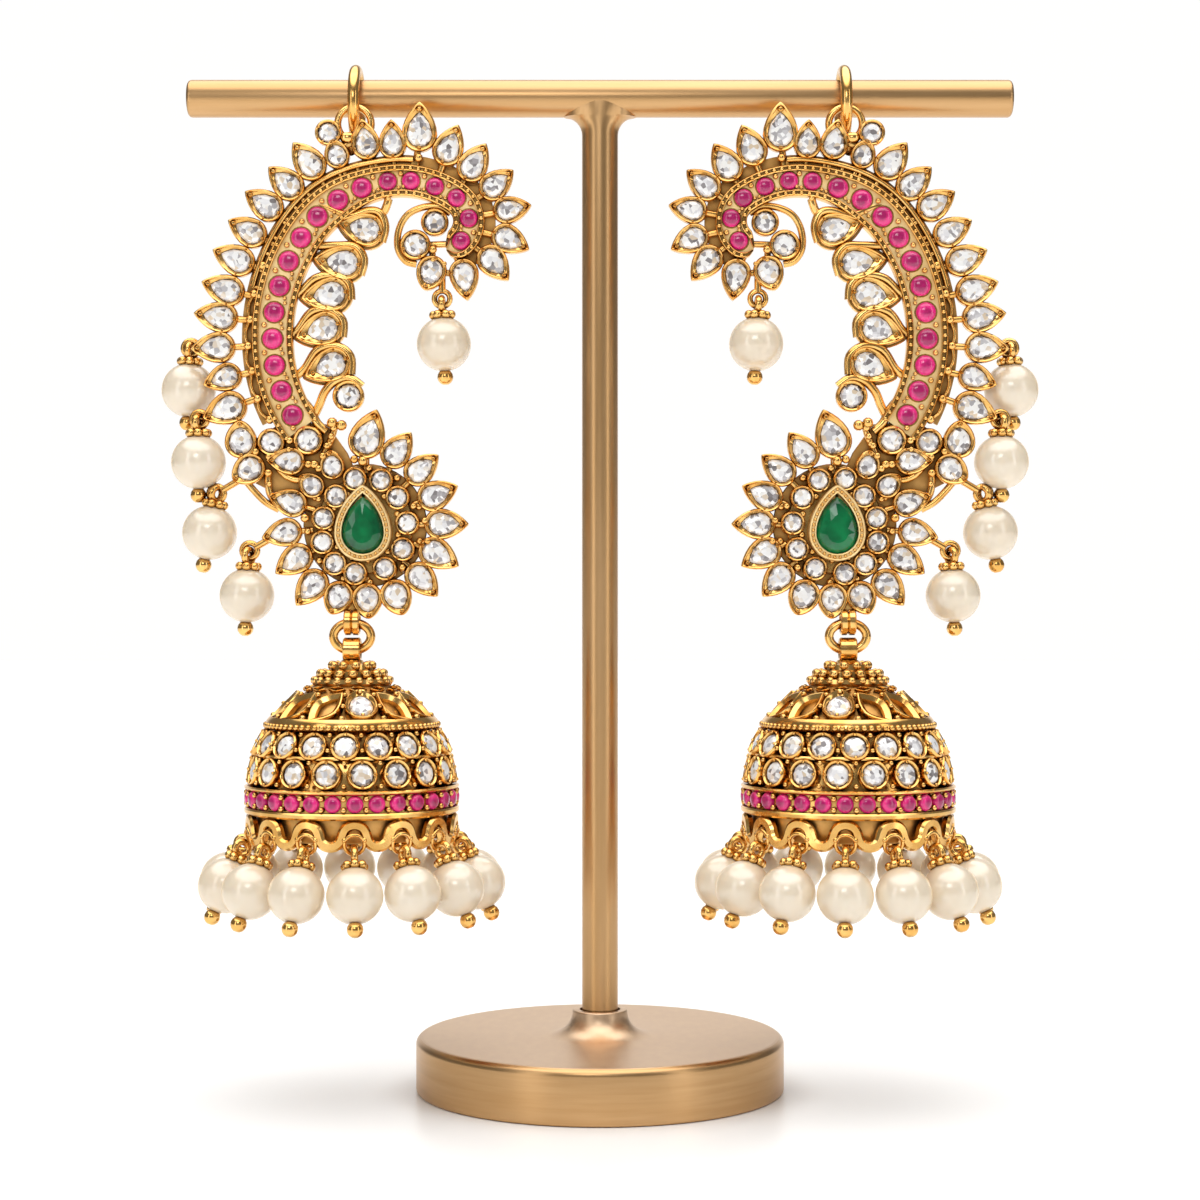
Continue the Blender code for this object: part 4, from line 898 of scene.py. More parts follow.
# %% [markdown]
# ## Petals round the ribbon
# The outer collets stand along the ribbon like petals. Their places are shares of its length, with a lean
# and a size each, because the setter fitted them by eye. The inner leaves are fuller and point back at the
# ribbon. Each has a wire stem that curls out of the ribbon's side.

# %% Outer petals and inner leaves
OUTER_PETALS = (
    # place as a share of the ribbon, offset / collet width, lean in degrees, size, kind
    (0.102, 2.03, 4, 1.05, "pear"),
    (0.155, 1.83, 9, 0.90, "pear"),
    (0.208, 2.01, 0, 1.00, "pear"),
    (0.262, 1.93, -4, 1.00, "pear"),
    (0.312, 1.82, -7, 1.00, "pear"),
    (0.370, 1.74, -4, 1.00, "pear"),
    (0.427, 1.70, -2, 0.95, "pear"),
    (0.485, 1.68, 2, 0.97, "pear"),
    (0.535, 1.58, 3, 0.97, "pear"),
    (0.586, 1.66, 4, 1.00, "pear"),
    (0.633, 1.47, -9, 0.88, "short"),
    (0.687, 1.50, -3, 0.92, "pear"),
    (0.733, 1.36, -1, 0.88, "pear"),
    (0.776, 1.80, 7, 1.12, "pear"),
    (0.826, 1.43, -3, 0.98, "pear"),
    (0.875, 1.28, 1, 0.97, "pear"),
    (0.910, 1.30, 6, 0.92, "pear"),
    (0.937, 1.46, 2, 0.88, "pear"),
    (0.964, 1.46, -12, 0.92, "pear"),
    (0.990, 1.32, -13, 0.95, "pear"),
    (1.023, 1.09, -16, 0.95, "pear"),
)
INNER_LEAVES = (
    # x, y, direction of the tip in degrees, size, kind
    (1.83, -16.59, 165, 0.98, "leaf"),
    (-0.76, -20.48, 172, 1.02, "leaf"),
    (-2.29, -24.13, 188, 1.02, "leaf"),
    (-3.12, -28.14, 198, 1.00, "leaf"),
    (-2.17, -32.38, 204, 1.00, "leaf"),
    (-0.41, -36.15, 150, 1.18, "round"),
)
TOP_ROUND = (-2.80, -5.15, 150, 0.98, "round")
COLLET_WIDTH = 3.1
petal_rows = [TOP_ROUND]
for share, offset_share, lean, size, kind in OUTER_PETALS:
    point, heading = spine_at(share)
    spot = beside_spine(share, offset_share * COLLET_WIDTH)
    petal_rows.append((spot.x, spot.y, math.degrees(heading) + 90 + lean, size, kind))
petal_rows += INNER_LEAVES
frame_parts = [ribbon_mesh] + rim_beads
print("petals and leaves", len(petal_rows))

# %% [markdown]
# Short wires join each petal to the ribbon. Down the outer side runs a second thin wire in scallops, with a
# ball of gold at each of its joints, and a plain rail on a ledge follows the ribbon over its top. Round wire
# along a path gives them all, as a jeweller would bend it. A plate of darker gold, painted shade, backs the
# whole row.

# %% Stems, scalloped wire and balls
SCALLOP_BALLS = (
    # place as a share of the ribbon, offset from its middle line
    (0.052, 2.61), (0.100, 2.94), (0.157, 2.72), (0.208, 2.86), (0.262, 2.69), (0.316, 2.65), (0.377, 2.58),
)
UPPER_BALL = (0.780, 2.79)
MID_HEIGHT = 0.75
STEM_WIRE, STEM_LAP, PETAL_HEEL = 0.42, 0.3, 0.35
SCALLOP_WIRE, SCALLOP_BULGE, SCALLOP_STEPS, SCALLOP_HEIGHT = 0.20, 0.45, 6, 1.05
SCALLOP_BALL, SCALLOP_BALL_HEIGHT = 0.54, 1.25
for share, offset_share, lean, size, kind in OUTER_PETALS:
    start = beside_spine(share, half_width(share) - STEM_LAP, MID_HEIGHT)
    end = beside_spine(share, (offset_share - PETAL_HEEL * size) * COLLET_WIDTH, MID_HEIGHT)
    frame_parts.append(wire([start, end], STEM_WIRE, GOLD))
scallop = []
for (share, offset), (next_share, next_offset) in zip(SCALLOP_BALLS, SCALLOP_BALLS[1:]):
    for step in range(SCALLOP_STEPS):
        blend = step / SCALLOP_STEPS
        bulge = SCALLOP_BULGE * math.sin(math.pi * blend)
        out = offset + (next_offset - offset) * blend + bulge
        scallop.append(beside_spine(share + (next_share - share) * blend, out, SCALLOP_HEIGHT))
frame_parts.append(wire(scallop, SCALLOP_WIRE, GOLD))
ball_places = [
    grain_at(beside_spine(share, offset, SCALLOP_BALL_HEIGHT), SCALLOP_BALL)
    for share, offset in SCALLOP_BALLS + (UPPER_BALL,)
]
print("balls on the scallops", len(ball_places))

# %% Rail, ledge and backing
RAIL_FROM, RAIL_REACH, RAIL_STEPS = 0.33, 0.44, 36
RAIL_GAP, RAIL_HEIGHT, RAIL_WIRE = 0.66, 1.15, 0.33
TIE_HEIGHT, TIE_WIRE, TIE_LAP = 1.0, 0.25, 0.2
LEDGE_LAP, LEDGE_BOTTOM, LEDGE_TOP = 0.1, 0.4, 0.90
BACK_FROM, BACK_REACH, BACK_STEPS = 0.05, 0.97, 60
BACK_WIDTH, BACK_BOTTOM, BACK_TOP = 1.30, 0.10, 0.52
rail_shares = [RAIL_FROM + RAIL_REACH * step / RAIL_STEPS for step in range(RAIL_STEPS + 1)]
rail = [beside_spine(share, half_width(share) + RAIL_GAP, RAIL_HEIGHT) for share in rail_shares]
frame_parts.append(wire(rail, RAIL_WIRE, GOLD))


def ledge(shares, reach, bottom, top, material):
    """Flat step along the ribbon's outer side, from inside its edge to a reach beyond it."""
    rings = [
        [beside_spine(share, half_width(share) + side, height) for side, height in (
            (-LEDGE_LAP, bottom), (reach, bottom), (reach, top), (-LEDGE_LAP, top)
        )]
        for share in shares
    ]
    return to_mesh(stack_rings(rings), material, CREASED)


frame_parts.append(ledge(rail_shares, RAIL_GAP, LEDGE_BOTTOM, LEDGE_TOP, GOLD))
backed_shares = [BACK_FROM + BACK_REACH * step / BACK_STEPS for step in range(BACK_STEPS + 1)]
# the backing is painted shade: a darker gold plate in the gaps behind the petals
frame_parts.append(ledge(backed_shares, BACK_WIDTH, BACK_BOTTOM, BACK_TOP, PAINTED_SHADE_GOLD))
for share in rail_shares[::3]:
    ends = [beside_spine(share, half_width(share) + reach, TIE_HEIGHT) for reach in (-TIE_LAP, RAIL_GAP)]
    frame_parts.append(wire(ends, TIE_WIRE, GOLD))
print("rail", len(rail), "points, backing", len(backed_shares), "stations")

# %% Stems and backs of the leaves
LEAF_STEMS = (
    # path of each leaf's stem from the ribbon round its collet, as (x, y) points
    ((-4.6, -13.4), (-2.6, -14.0), (-0.3, -14.9), (1.9, -14.3), (3.3, -14.6), (3.9, -16.2), (3.5, -18.0)),
    ((-6.2, -18.0), (-4.2, -18.4), (-1.6, -18.4), (0.4, -18.5), (1.4, -20.0), (1.0, -21.9)),
    ((-7.4, -24.4), (-6.1, -23.9), (-4.4, -22.3), (-2.2, -21.9), (-0.4, -22.8), (-0.1, -24.8)),
    ((-7.5, -28.9), (-6.4, -28.3), (-4.9, -26.3), (-2.8, -25.9), (-1.1, -27.2), (-1.1, -29.2)),
    ((-6.9, -33.9), (-5.6, -32.9), (-4.1, -30.7), (-1.9, -30.2), (-0.2, -31.4), (-0.1, -33.6)),
    ((-4.6, -38.6), (-3.9, -37.2), (-3.2, -35.6), (-2.0, -34.4), (-0.3, -34.0), (1.2, -35.0)),
    ((2.9, -14.9), (3.7, -14.4), (4.1, -13.6), (4.3, -12.9)),
    ((-6.2, -36.2), (-5.0, -37.6), (-4.1, -39.3), (-3.0, -40.3)),
)


def smooth_path(points, steps=5):
    """Rounded path through (x, y) points, as a bent wire takes."""
    result = []
    for index in range(len(points) - 1):
        before = points[max(index - 1, 0)]
        here, there = points[index], points[index + 1]
        after = points[min(index + 2, len(points) - 1)]
        for step in range(steps):
            t = step / steps
            result.append(tuple(
                0.5 * (
                    2 * b + (c - a) * t + (2 * a - 5 * b + 4 * c - d) * t * t
                    + (3 * b - a - 3 * c + d) * t ** 3
                )
                for a, b, c, d in zip(before, here, there, after)
            ))
    result.append(tuple(points[-1]))
    return result


def plate(outline, bottom, top, material, edge=0.08):
    """Flat plate with a bevelled upper edge."""
    outline = [Vector(point) for point in outline]
    rings = [ring_at(outline, bottom), ring_at(outline, top - edge), ring_at(inset(outline, edge), top)]
    return to_mesh(stack_rings(rings), material, BEVELLED)


LEAF_STEM_WIRE, STEM_FOOT, STEM_CLIMB, CLIMB_STEPS = 0.52, 0.62, 0.43, 10
LEAF_BACK_HALF, LEAF_BACK_TIP, LEAF_BACK_BOTTOM, LEAF_BACK_TOP = 2.35, 4.0, 0.10, 0.95
leaf_outline = pear_outline(LEAF_BACK_HALF, LEAF_BACK_TIP, 28)
leaf_back = plate(leaf_outline, LEAF_BACK_BOTTOM, LEAF_BACK_TOP, GOLD, 0.1)
leaf_places = [
    (turned_to(x, y, 0.0, direction), (size, size, 1.0))
    for x, y, direction, size, kind in INNER_LEAVES if kind == "leaf"
]
frame_parts.append(copies(leaf_back, leaf_places, GOLD))
for stem in LEAF_STEMS:
    path = [
        Vector((x, y, STEM_FOOT + STEM_CLIMB * min(step / CLIMB_STEPS, 1.0)))
        for step, (x, y) in enumerate(smooth_path(stem))
    ]
    frame_parts.append(wire(path, LEAF_STEM_WIRE, GOLD))
print("leaf stems", len(LEAF_STEMS))

# %% [markdown]
# ## Curl, cluster and rosette
# The ribbon ends in a curl with three more stones and a leaf that wraps them. Below the ribbon lies a
# cluster on a backing plate of darker gold, painted shade, and the rosette holds the emerald inside two rings
# of stones.

# %% Curl and cluster
CURL_COLLETS = (
    # x, y, direction of the tip, size, kind
    (9.75, -15.70, 40, 1.03, "round"),
    (7.48, -18.36, 200, 1.14, "round"),
    (9.40, -21.36, 250, 1.05, "short"),
)
CLUSTER_COLLETS = (
    (-13.05, -41.60, 92, 1.12, "short"),
    (-9.50, -41.57, 115, 1.03, "round"),
    (-5.15, -41.35, 20, 1.10, "round"),
    (-11.95, -44.65, 215, 1.06, "short"),
    (-7.10, -43.80, 178, 0.88, "pear"),
    (-2.30, -44.50, 100, 0.88, "short"),
    (-4.60, -46.75, 140, 0.85, "short"),
)
CURL_WRAP = (
    (11.6, -14.6), (10.2, -13.8), (8.3, -13.9), (6.5, -14.8),
    (5.5, -16.6), (5.4, -18.7), (6.3, -20.2), (7.6, -20.6),
)
CURL_TIES = (
    ((9.4, -18.0), (9.5, -21.0)),
    ((8.3, -18.3), (11.2, -18.2)),
    ((9.5, -21.4), (13.0, -21.8)),
)
CLUSTER_WIRES = (
    ((-9.9, -45.2), (-9.9, -46.4), (-9.7, -47.6), (-9.0, -48.8)),
    ((-12.6, -46.0), (-11.6, -47.2), (-10.2, -48.6), (-8.6, -49.5)),
    ((-8.9, -44.4), (-7.8, -45.5), (-6.4, -46.0), (-5.0, -45.6)),
    ((-2.0, -39.6), (-2.4, -41.0), (-2.9, -42.1), (-3.4, -43.2)),
)
GRANULES = (
    # x, y, radius
    (-5.5, -50.5, 0.55), (7.25, -49.1, 0.40), (5.95, -56.3, 0.40), (0.30, -43.6, 0.50), (1.30, -43.8, 0.62),
    (-2.30, -39.3, 0.66), (-1.20, -39.6, 0.66), (-9.8, -45.2, 0.50), (-9.7, -46.5, 0.34), (-6.9, -39.9, 0.34),
    (-4.4, -44.2, 0.55), (9.55, -18.95, 0.50), (9.55, -20.1, 0.30), (4.3, -12.9, 0.34), (-2.6, -41.8, 0.34),
    (-2.7, -42.9, 0.34), (10.9, -20.6, 0.30), (-3.9, -48.3, 0.34), (8.6, -50.8, 0.42), (8.9, -53.2, 0.42),
    (-2.1, -39.9, 0.46), (-2.4, -40.9, 0.42), (-2.9, -42.0, 0.44), (-3.4, -43.2, 0.46), (-3.9, -44.7, 0.46),
    (-5.1, -44.2, 0.50), (-7.3, -41.4, 0.46), (-7.4, -42.4, 0.34), (-11.3, -42.7, 0.46), (-9.8, -43.3, 0.40),
)
WRAP_HEIGHT, CURL_TIE_HEIGHT, GRANULE_HEIGHT, CLUSTER_LIFT = 1.0, 0.8, 1.45, 0.08
THIN_WIRE = 0.40


def flat_wire(path, height, radius):
    """Round wire that lies at one height along (x, y) points."""
    return wire([Vector((x, y, height)) for x, y in path], radius, GOLD)


frame_parts.append(flat_wire(smooth_path(CURL_WRAP), WRAP_HEIGHT, STEM_WIRE))
frame_parts += [flat_wire(path, CURL_TIE_HEIGHT, THIN_WIRE) for path in CURL_TIES]
frame_parts += [flat_wire(smooth_path(path), WRAP_HEIGHT, STEM_WIRE) for path in CLUSTER_WIRES]
ball_places += [grain_at((x, y, GRANULE_HEIGHT), radius) for x, y, radius in GRANULES]
frame_parts += set_collets(CURL_COLLETS + CLUSTER_COLLETS, CLUSTER_LIFT)
BACKING_OUTLINE = (
    (-13.4, -42.4), (-12.2, -46.0), (-9.0, -47.6), (-5.0, -49.4), (-1.0, -47.5),
    (0.6, -45.5), (-0.6, -42.8), (-3.0, -39.4), (-8.0, -39.0), (-10.6, -40.6),
)
BACKING_BOTTOM, BACKING_TOP = 0.07, 0.62
# the backing plate is painted shade, in the darker gold
frame_parts.append(plate(BACKING_OUTLINE, BACKING_BOTTOM, BACKING_TOP, PAINTED_SHADE_GOLD))
print("cluster collets", len(CLUSTER_COLLETS), "granules", len(GRANULES))

# %% Rosette
ROSETTE_X, ROSETTE_Y, ROSETTE_RADIUS = 1.5, -51.35, 7.7
ROSETTE_PETALS = (
    # angle round the rosette, radius / rosette radius, lean in degrees, size, kind
    (89, 1.35, -18, 1.15, "pear"),
    (67, 1.24, -14, 0.95, "pear"),
    (45, 1.21, -5, 0.93, "pear"),
    (23, 1.18, 0, 0.97, "pear"),
    (1, 1.21, -1, 1.00, "pear"),
    (-21, 1.19, -9, 1.00, "pear"),
    (-43, 1.20, -5, 0.95, "pear"),
    (-66, 1.22, -2, 1.10, "short"),
    (-88, 1.17, 3, 1.06, "short"),
    (-110, 1.20, -5, 1.04, "short"),
    (-131, 1.24, 2, 0.98, "pear"),
    (-154, 1.19, 9, 0.96, "pear"),
    (-175, 1.24, 8, 0.92, "pear"),
    (163, 1.20, -1, 0.90, "pear"),
)
ROSETTE_ROUNDS = (
    # distance from the rosette's centre, angle
    (5.55, 102), (5.63, 70), (5.06, 40), (5.02, 3), (5.29, -32), (5.59, -65), (5.75, -101), (5.70, -128),
    (5.34, -158), (4.90, 170), (4.79, 134.5),
)
ROUND_SIZE, ROUND_LIFT, PETAL_INSET, PETAL_STEM_FROM = 0.92, 0.12, 0.46, 0.80


def in_rosette(reach, angle):
    """The x and y of a point at a distance and an angle in degrees from the rosette's centre."""
    turn = math.radians(angle)
    return ROSETTE_X + reach * math.cos(turn), ROSETTE_Y + reach * math.sin(turn)


rosette_rows = []
for angle, share, lean, size, kind in ROSETTE_PETALS:
    spot = in_rosette(share * ROSETTE_RADIUS - PETAL_INSET, angle)
    rosette_rows.append((*spot, angle + lean, size, kind))
    start = in_rosette(ROSETTE_RADIUS * PETAL_STEM_FROM, angle)
    frame_parts.append(flat_wire([start, spot], MID_HEIGHT, THIN_WIRE))
round_rows = [(*in_rosette(reach, angle), angle, ROUND_SIZE, "round") for reach, angle in ROSETTE_ROUNDS]
frame_parts += set_collets(petal_rows + rosette_rows)
frame_parts += set_collets(round_rows, ROUND_LIFT)
print("rosette petals", len(rosette_rows), "rounds", len(round_rows))

# %% Skirts, discs and balls of the rosette
SKIRT = [(NEAR_AXIS, 0.5), (1.60, 0.5), (1.66, 0.85), (1.50, 1.12), (NEAR_AXIS, 1.12)]
DISC_EDGE = 0.1
ROSETTE_DISCS = (
    # radius, bottom, top, finish
    # the lower disc is painted shade, in the darker gold, under the stones
    (7.3, 0.02, 0.57, PAINTED_SHADE_GOLD),
    (5.7, 0.5, 1.05, GOLD),
)
BALL_TURN = 16
ROSETTE_BALLS = (
    # distance from the centre, height, radius of the ball
    (4.1, 1.15, 0.42), (6.75, 0.95, 0.46),
)
skirt_rows = round_rows + [row for row in CLUSTER_COLLETS if row[4] != "pear"]
skirt_places = [(turned_to(x, y, 0.0), (size, size, 1.0)) for x, y, direction, size, kind in skirt_rows]
frame_parts.append(copies(to_mesh(lathe(SKIRT, count=20), GOLD, CREASED), skirt_places, GOLD))
for radius, bottom, top, finish in ROSETTE_DISCS:
    disc = [
        (NEAR_AXIS, bottom), (radius - DISC_EDGE, bottom), (radius, bottom + DISC_EDGE),
        (radius, top - DISC_EDGE), (radius - DISC_EDGE, top), (NEAR_AXIS, top),
    ]
    disc_shell = moved(lathe(disc, count=48), turned_to(ROSETTE_X, ROSETTE_Y, 0.0))
    frame_parts.append(to_mesh(disc_shell, finish, BEVELLED))
for reach, angle in ROSETTE_ROUNDS:
    for radius, lift, ball_size in ROSETTE_BALLS:
        ball_places.append(grain_at((*in_rosette(radius, angle + BALL_TURN), lift), ball_size))
print("skirts", len(skirt_places), "discs", len(ROSETTE_DISCS))

# %% [markdown]
# The emerald sits in a satin cup with a beaded lip. Its crown has two rings of facets down to the girdle and
# a wide table, a plain cut for a pear.

# %% Emerald in its cup
EMERALD_LEFT, EMERALD_DOWN = 0.15, 0.9
STONE_HALF, STONE_TIP, STONE_GIRDLE, STONE_RISE, STONE_SIDES = 2.50, 4.25, 1.95, 0.75, 14
CUP_WALL, CUP_POINT, CUP_SIDES = 0.85, 1.35, 48
CUP_PROFILE = (
    # distance in from the cup's outline, height
    (0.25, 0.5), (0.0, 1.1), (0.0, 2.15), (0.10, 2.35), (0.26, 2.40), (0.36, 2.24), (0.58, 2.24),
    (0.70, 2.36), (0.84, 2.30), (0.95, 1.5),
)
LIP_INSET, LIP_HEIGHT, LIP_SPACING, LIP_BEAD = 0.47, 2.30, 0.66, 0.19
cup = pear_outline(STONE_HALF + CUP_WALL, STONE_TIP + CUP_POINT, CUP_SIDES)
cup_rings = [ring_at(inset(cup, distance), height) for distance, height in CUP_PROFILE]
emerald_place = turned_to(ROSETTE_X - EMERALD_LEFT, ROSETTE_Y - EMERALD_DOWN, 0.0, 90)
frame_parts.append(to_mesh(moved(stack_rings(cup_rings), emerald_place), SATIN_GOLD, CREASED))
lip = [emerald_place @ Vector((point.x, point.y, LIP_HEIGHT)) for point in inset(cup, LIP_INSET)]
frame_parts.append(beads(lip, LIP_SPACING, LIP_BEAD, GOLD, closed=True))
emerald = stone_shell(STONE_HALF, STONE_TIP, STONE_GIRDLE, STONE_RISE, STONE_SIDES)
emerald_mesh = to_mesh(moved(emerald, emerald_place), EMERALD, FACETED)
finish_piece("emerald_cut", [emerald_mesh], STAND_UP, "stand", ["SIDE_emerald"])

# %% [markdown]
# Rings and loops hold the jewel together: the small ring behind the top petals, the double loop below the
# rosette, and the lugs of the side pearls, each with its small ring. All are bent from round wire but the
# double loop, which is flat band.

# %% Small ring
PLATE_MIDDLE = 0.9
SMALL_RING_Y, SMALL_RING_T, SMALL_RING_RADIUS, SMALL_RING_WIRE = -3.55, 2.6 - PLATE_BACK, 2.0, 0.44
SMALL_RING_STEM, SMALL_STEM_WIRE = ((-0.2, -5.45, SMALL_RING_T), (-0.2, -6.3, -0.6), (-0.2, -7.2, 0.5)), 0.62
SMALL_RING_CROSS, CROSS_HEIGHT, CROSS_WIRE = ((-1.9, -6.9), (1.4, -5.7)), 0.6, 0.5
TOP_BALL, TOP_BALL_SIZE = (-0.55, -5.70, 0.95), (0.95, 0.72, 0.72)
small = torus(SMALL_RING_RADIUS, SMALL_RING_WIRE, steps=32, sides=10)
frame_parts.append(to_mesh(moved(small, turned_to(0, SMALL_RING_Y, SMALL_RING_T)), GOLD, ROUNDED))
frame_parts.append(wire([Vector(point) for point in SMALL_RING_STEM], SMALL_STEM_WIRE, GOLD))
frame_parts.append(flat_wire(SMALL_RING_CROSS, CROSS_HEIGHT, CROSS_WIRE))
ball_places.append((Matrix.Translation(TOP_BALL), TOP_BALL_SIZE))
print("small ring across", 2 * (SMALL_RING_RADIUS + SMALL_RING_WIRE), "mm")

# %% Double loop and lugs


BAND_EDGE = 0.3


def band(hole, wall, half_band, steps=32):
    """Flat band bent into a ring about the x axis, with softened edges."""
    outer, soft = hole + wall, BAND_EDGE * wall
    section = (
        (hole, -half_band + soft), (hole + soft, -half_band),
        (outer - soft, -half_band), (outer, -half_band + soft),
        (outer, half_band - soft), (outer - soft, half_band),
        (hole + soft, half_band), (hole, half_band - soft),
    )
    rings = []
    for step in range(steps):
        turn = 2 * math.pi * step / steps
        rings.append([(x, radius * math.cos(turn), radius * math.sin(turn)) for radius, x in section])
    return stack_rings(rings, closed=True)


LOOP_Y, LOOP_APART, LOOP_HOLE, LOOP_WALL, LOOP_HALF_BAND = -62.75, 0.46, 1.05, 0.5, 0.44
LINK_HALF_WIDTH, LINK_HALF_HEIGHT, LINK_WIRE, LINK_DROP, BAIL_LIFT = 2.2, 1.65, 0.54, 0.05, 0.1
LINK_Y = LOOP_Y - LINK_DROP - LINK_HALF_HEIGHT
BAIL_Y = LINK_Y - LINK_HALF_HEIGHT + BAIL_LIFT
loop = band(LOOP_HOLE, LOOP_WALL, LOOP_HALF_BAND)
for x in (-LOOP_APART, LOOP_APART):
    frame_parts.append(to_mesh(moved(loop, turned_to(x, LOOP_Y, PLATE_MIDDLE)), GOLD, BEVELLED))
LOOP_SEAT, SEAT_BOTTOM, SEAT_TOP = ((-1.2, -58.4), (-1.0, -61.4), (1.0, -61.4), (1.6, -58.4)), 0.35, 1.2
frame_parts.append(plate(LOOP_SEAT, SEAT_BOTTOM, SEAT_TOP, GOLD))
SIDE_PEARLS = (
    # x, y, hanging point x, y, start of its lug x, y, setback, loop turned from face-on in degrees
    (-19.7, -35.2, -19.5, -30.2, -17.6, -30.6, 2.6, 70),
    (-18.1, -43.9, -18.1, -38.9, -16.4, -38.1, 0.0, 70),
    (-16.8, -52.2, -16.1, -47.7, -12.6, -45.6, 0.0, 40),
    (-12.4, -59.6, -12.2, -54.4, -9.6, -52.9, 0.0, 60),
    (10.8, -30.0, 10.6, -24.8, 10.6, -21.6, 0.0, 90),
)
LUG_RING, LUG_RING_WIRE, LUG_SHORT, LUG_RING_SHIFT = 0.92, 0.34, 0.9, 0.15
lug_ring = to_mesh(torus(LUG_RING, LUG_RING_WIRE, steps=20, sides=8), GOLD, ROUNDED)
lug_places = []
for x, y, hang_x, hang_y, lug_x, lug_y, setback, loop_turn in SIDE_PEARLS:
    start = Vector((lug_x, lug_y, PLATE_MIDDLE))
    end = Vector((hang_x, hang_y, PLATE_MIDDLE - setback))
    pull = (end - start).normalized()
    frame_parts.append(wire([start, end - LUG_SHORT * pull], STEM_WIRE, GOLD))
    lug_places.append((Matrix.Translation(end - LUG_RING_SHIFT * pull), (1, 1, 1)))
frame_parts.append(copies(lug_ring, lug_places, GOLD))
frame_parts.append(copies(grain_mesh, ball_places, GOLD))
finish_piece("ornament", frame_parts, STAND_UP, "stand", ["SIDE_frame"])

# %% [markdown]
# Three parts are loose or set apart: the ring that hangs over the bar, the ear post with its nut behind the
# rosette, and the oval ring that carries the bell. Rings are bent wire, and the post and nut are turned.

# %% Hanging ring, ear post and connecting ring
HANGING_RADIUS, HANGING_WIRE, RING_CLEARANCE = 4.05, 0.7, 0.36
hanging_drop = HANGING_RADIUS - HANGING_WIRE - BAR_RADIUS - RING_CLEARANCE
upright = Matrix.Translation((0, -hanging_drop, -PLATE_BACK)) @ Matrix.Rotation(math.pi / 2, 4, "Y")
hanging = to_mesh(moved(torus(HANGING_RADIUS, HANGING_WIRE, steps=64, sides=16), upright), GOLD, ROUNDED)
finish_piece("hanging_ring_wire", [hanging], STAND_UP, "stand", ["SIDE_hanging_ring"])
EAR_POST_UP = 1.0
EAR_POST_PROFILE = (
    # radius, height behind the plate: the pin's tip, its nut, and its foot
    (0.02, -9.8), (0.42, -9.8), (0.5, -9.6), (0.5, -8.6),
    (1.6, -8.55), (2.4, -8.2), (2.5, -7.4), (2.4, -6.6), (1.6, -6.25), (0.5, -6.2),
    (0.5, -0.95), (1.8, -0.9), (2.0, -0.75), (2.0, -0.4), (1.9, -0.3), (0.02, -0.3),
)
post_place = turned_to(ROSETTE_X, ROSETTE_Y + EAR_POST_UP, 0.0)
ear_post = to_mesh(moved(lathe(EAR_POST_PROFILE, count=24), post_place), GOLD, BEVELLED)
finish_piece("ear_post_turned", [ear_post], STAND_UP, "stand", ["SIDE_ear_post"])
link = torus(LINK_HALF_WIDTH, LINK_WIRE, steps=48, sides=14, height_radius=LINK_HALF_HEIGHT)
link_mesh = to_mesh(moved(link, turned_to(0, LINK_Y, PLATE_MIDDLE)), GOLD, ROUNDED)
finish_piece("connector_ring_wire", [link_mesh], STAND_UP, "SIDE_ring", ["SIDE_connector_ring"])

# %% [markdown]
# ## Pearls
# Every drop is the same: a pearl on a headpin, with a ball below, a cap of granules above and an eye that a
# jump ring passes through. It is made once, upright about its own centre, and copied to each place.

# %% Pearl drop
PEARL_RADIUS, END_BALL, END_BALL_DROP = 3.2, 0.95, 0.68
CAP_PROFILE = ((NEAR_AXIS, 2.95), (1.05, 2.95), (1.1, 3.25), (0.7, 3.7), (0.3, 3.85), (NEAR_AXIS, 3.85))
CAP_BALLS, CAP_RADIUS, CAP_BALL, CAP_HEIGHT = 7, 1.06, 0.55, 3.42
EYE_RADIUS, EYE_WIRE, EYE_HEIGHT = 0.80, 0.42, 4.62
pearl_mesh = to_mesh(ball(PEARL_RADIUS, rings=20, count=32), PEARL, ROUNDED)
end_place = Matrix.Translation((0, 0, -PEARL_RADIUS - END_BALL_DROP))
fittings = [moved(ball(END_BALL, rings=8, count=14), end_place)]
fittings.append(lathe(CAP_PROFILE, count=20))
for spot in circle(CAP_RADIUS, CAP_HEIGHT, CAP_BALLS):
    fittings.append(moved(ball(CAP_BALL, rings=7, count=12), Matrix.Translation(spot)))
eye_place = Matrix.Translation((0, 0, EYE_HEIGHT)) @ Matrix.Rotation(math.pi / 2, 4, "X")
fittings.append(moved(torus(EYE_RADIUS, EYE_WIRE, steps=22, sides=10), eye_place))
fittings_mesh = to_mesh(merged(fittings), GOLD, ROUNDED)
print("pearl drop faces", len(pearl_mesh.polygons) + len(fittings_mesh.polygons))


def drop_places(rows):
    """Places that stand each drop up along the line from its centre to where it hangs."""
    places = []
    for centre, top, face in rows:
        turn = Vector((0, 0, 1)).rotation_difference(top - centre).to_matrix().to_4x4()
        face_turn = Matrix.Rotation(math.radians(face), 4, "Z")
        places.append((Matrix.Translation(centre) @ turn @ face_turn, (1, 1, 1)))
    return places


HANG_DROP = 0.75
side_rows = []
for x, y, hang_x, hang_y, lug_x, lug_y, setback, loop_turn in SIDE_PEARLS:
    height = PLATE_MIDDLE - setback
    side_rows.append((Vector((x, y, height)), Vector((hang_x, hang_y - HANG_DROP, height)), loop_turn))
side_places = drop_places(side_rows)
side_nodes = [f"SIDE_side_pearl_{number}" for number in (1, 2, 3, 4)] + ["SIDE_curl_pearl"]
finish_piece(
    "side_pearl_drops", [copies(pearl_mesh, side_places, PEARL), copies(fittings_mesh, side_places, GOLD)],
    STAND_UP, "stand", side_nodes
)
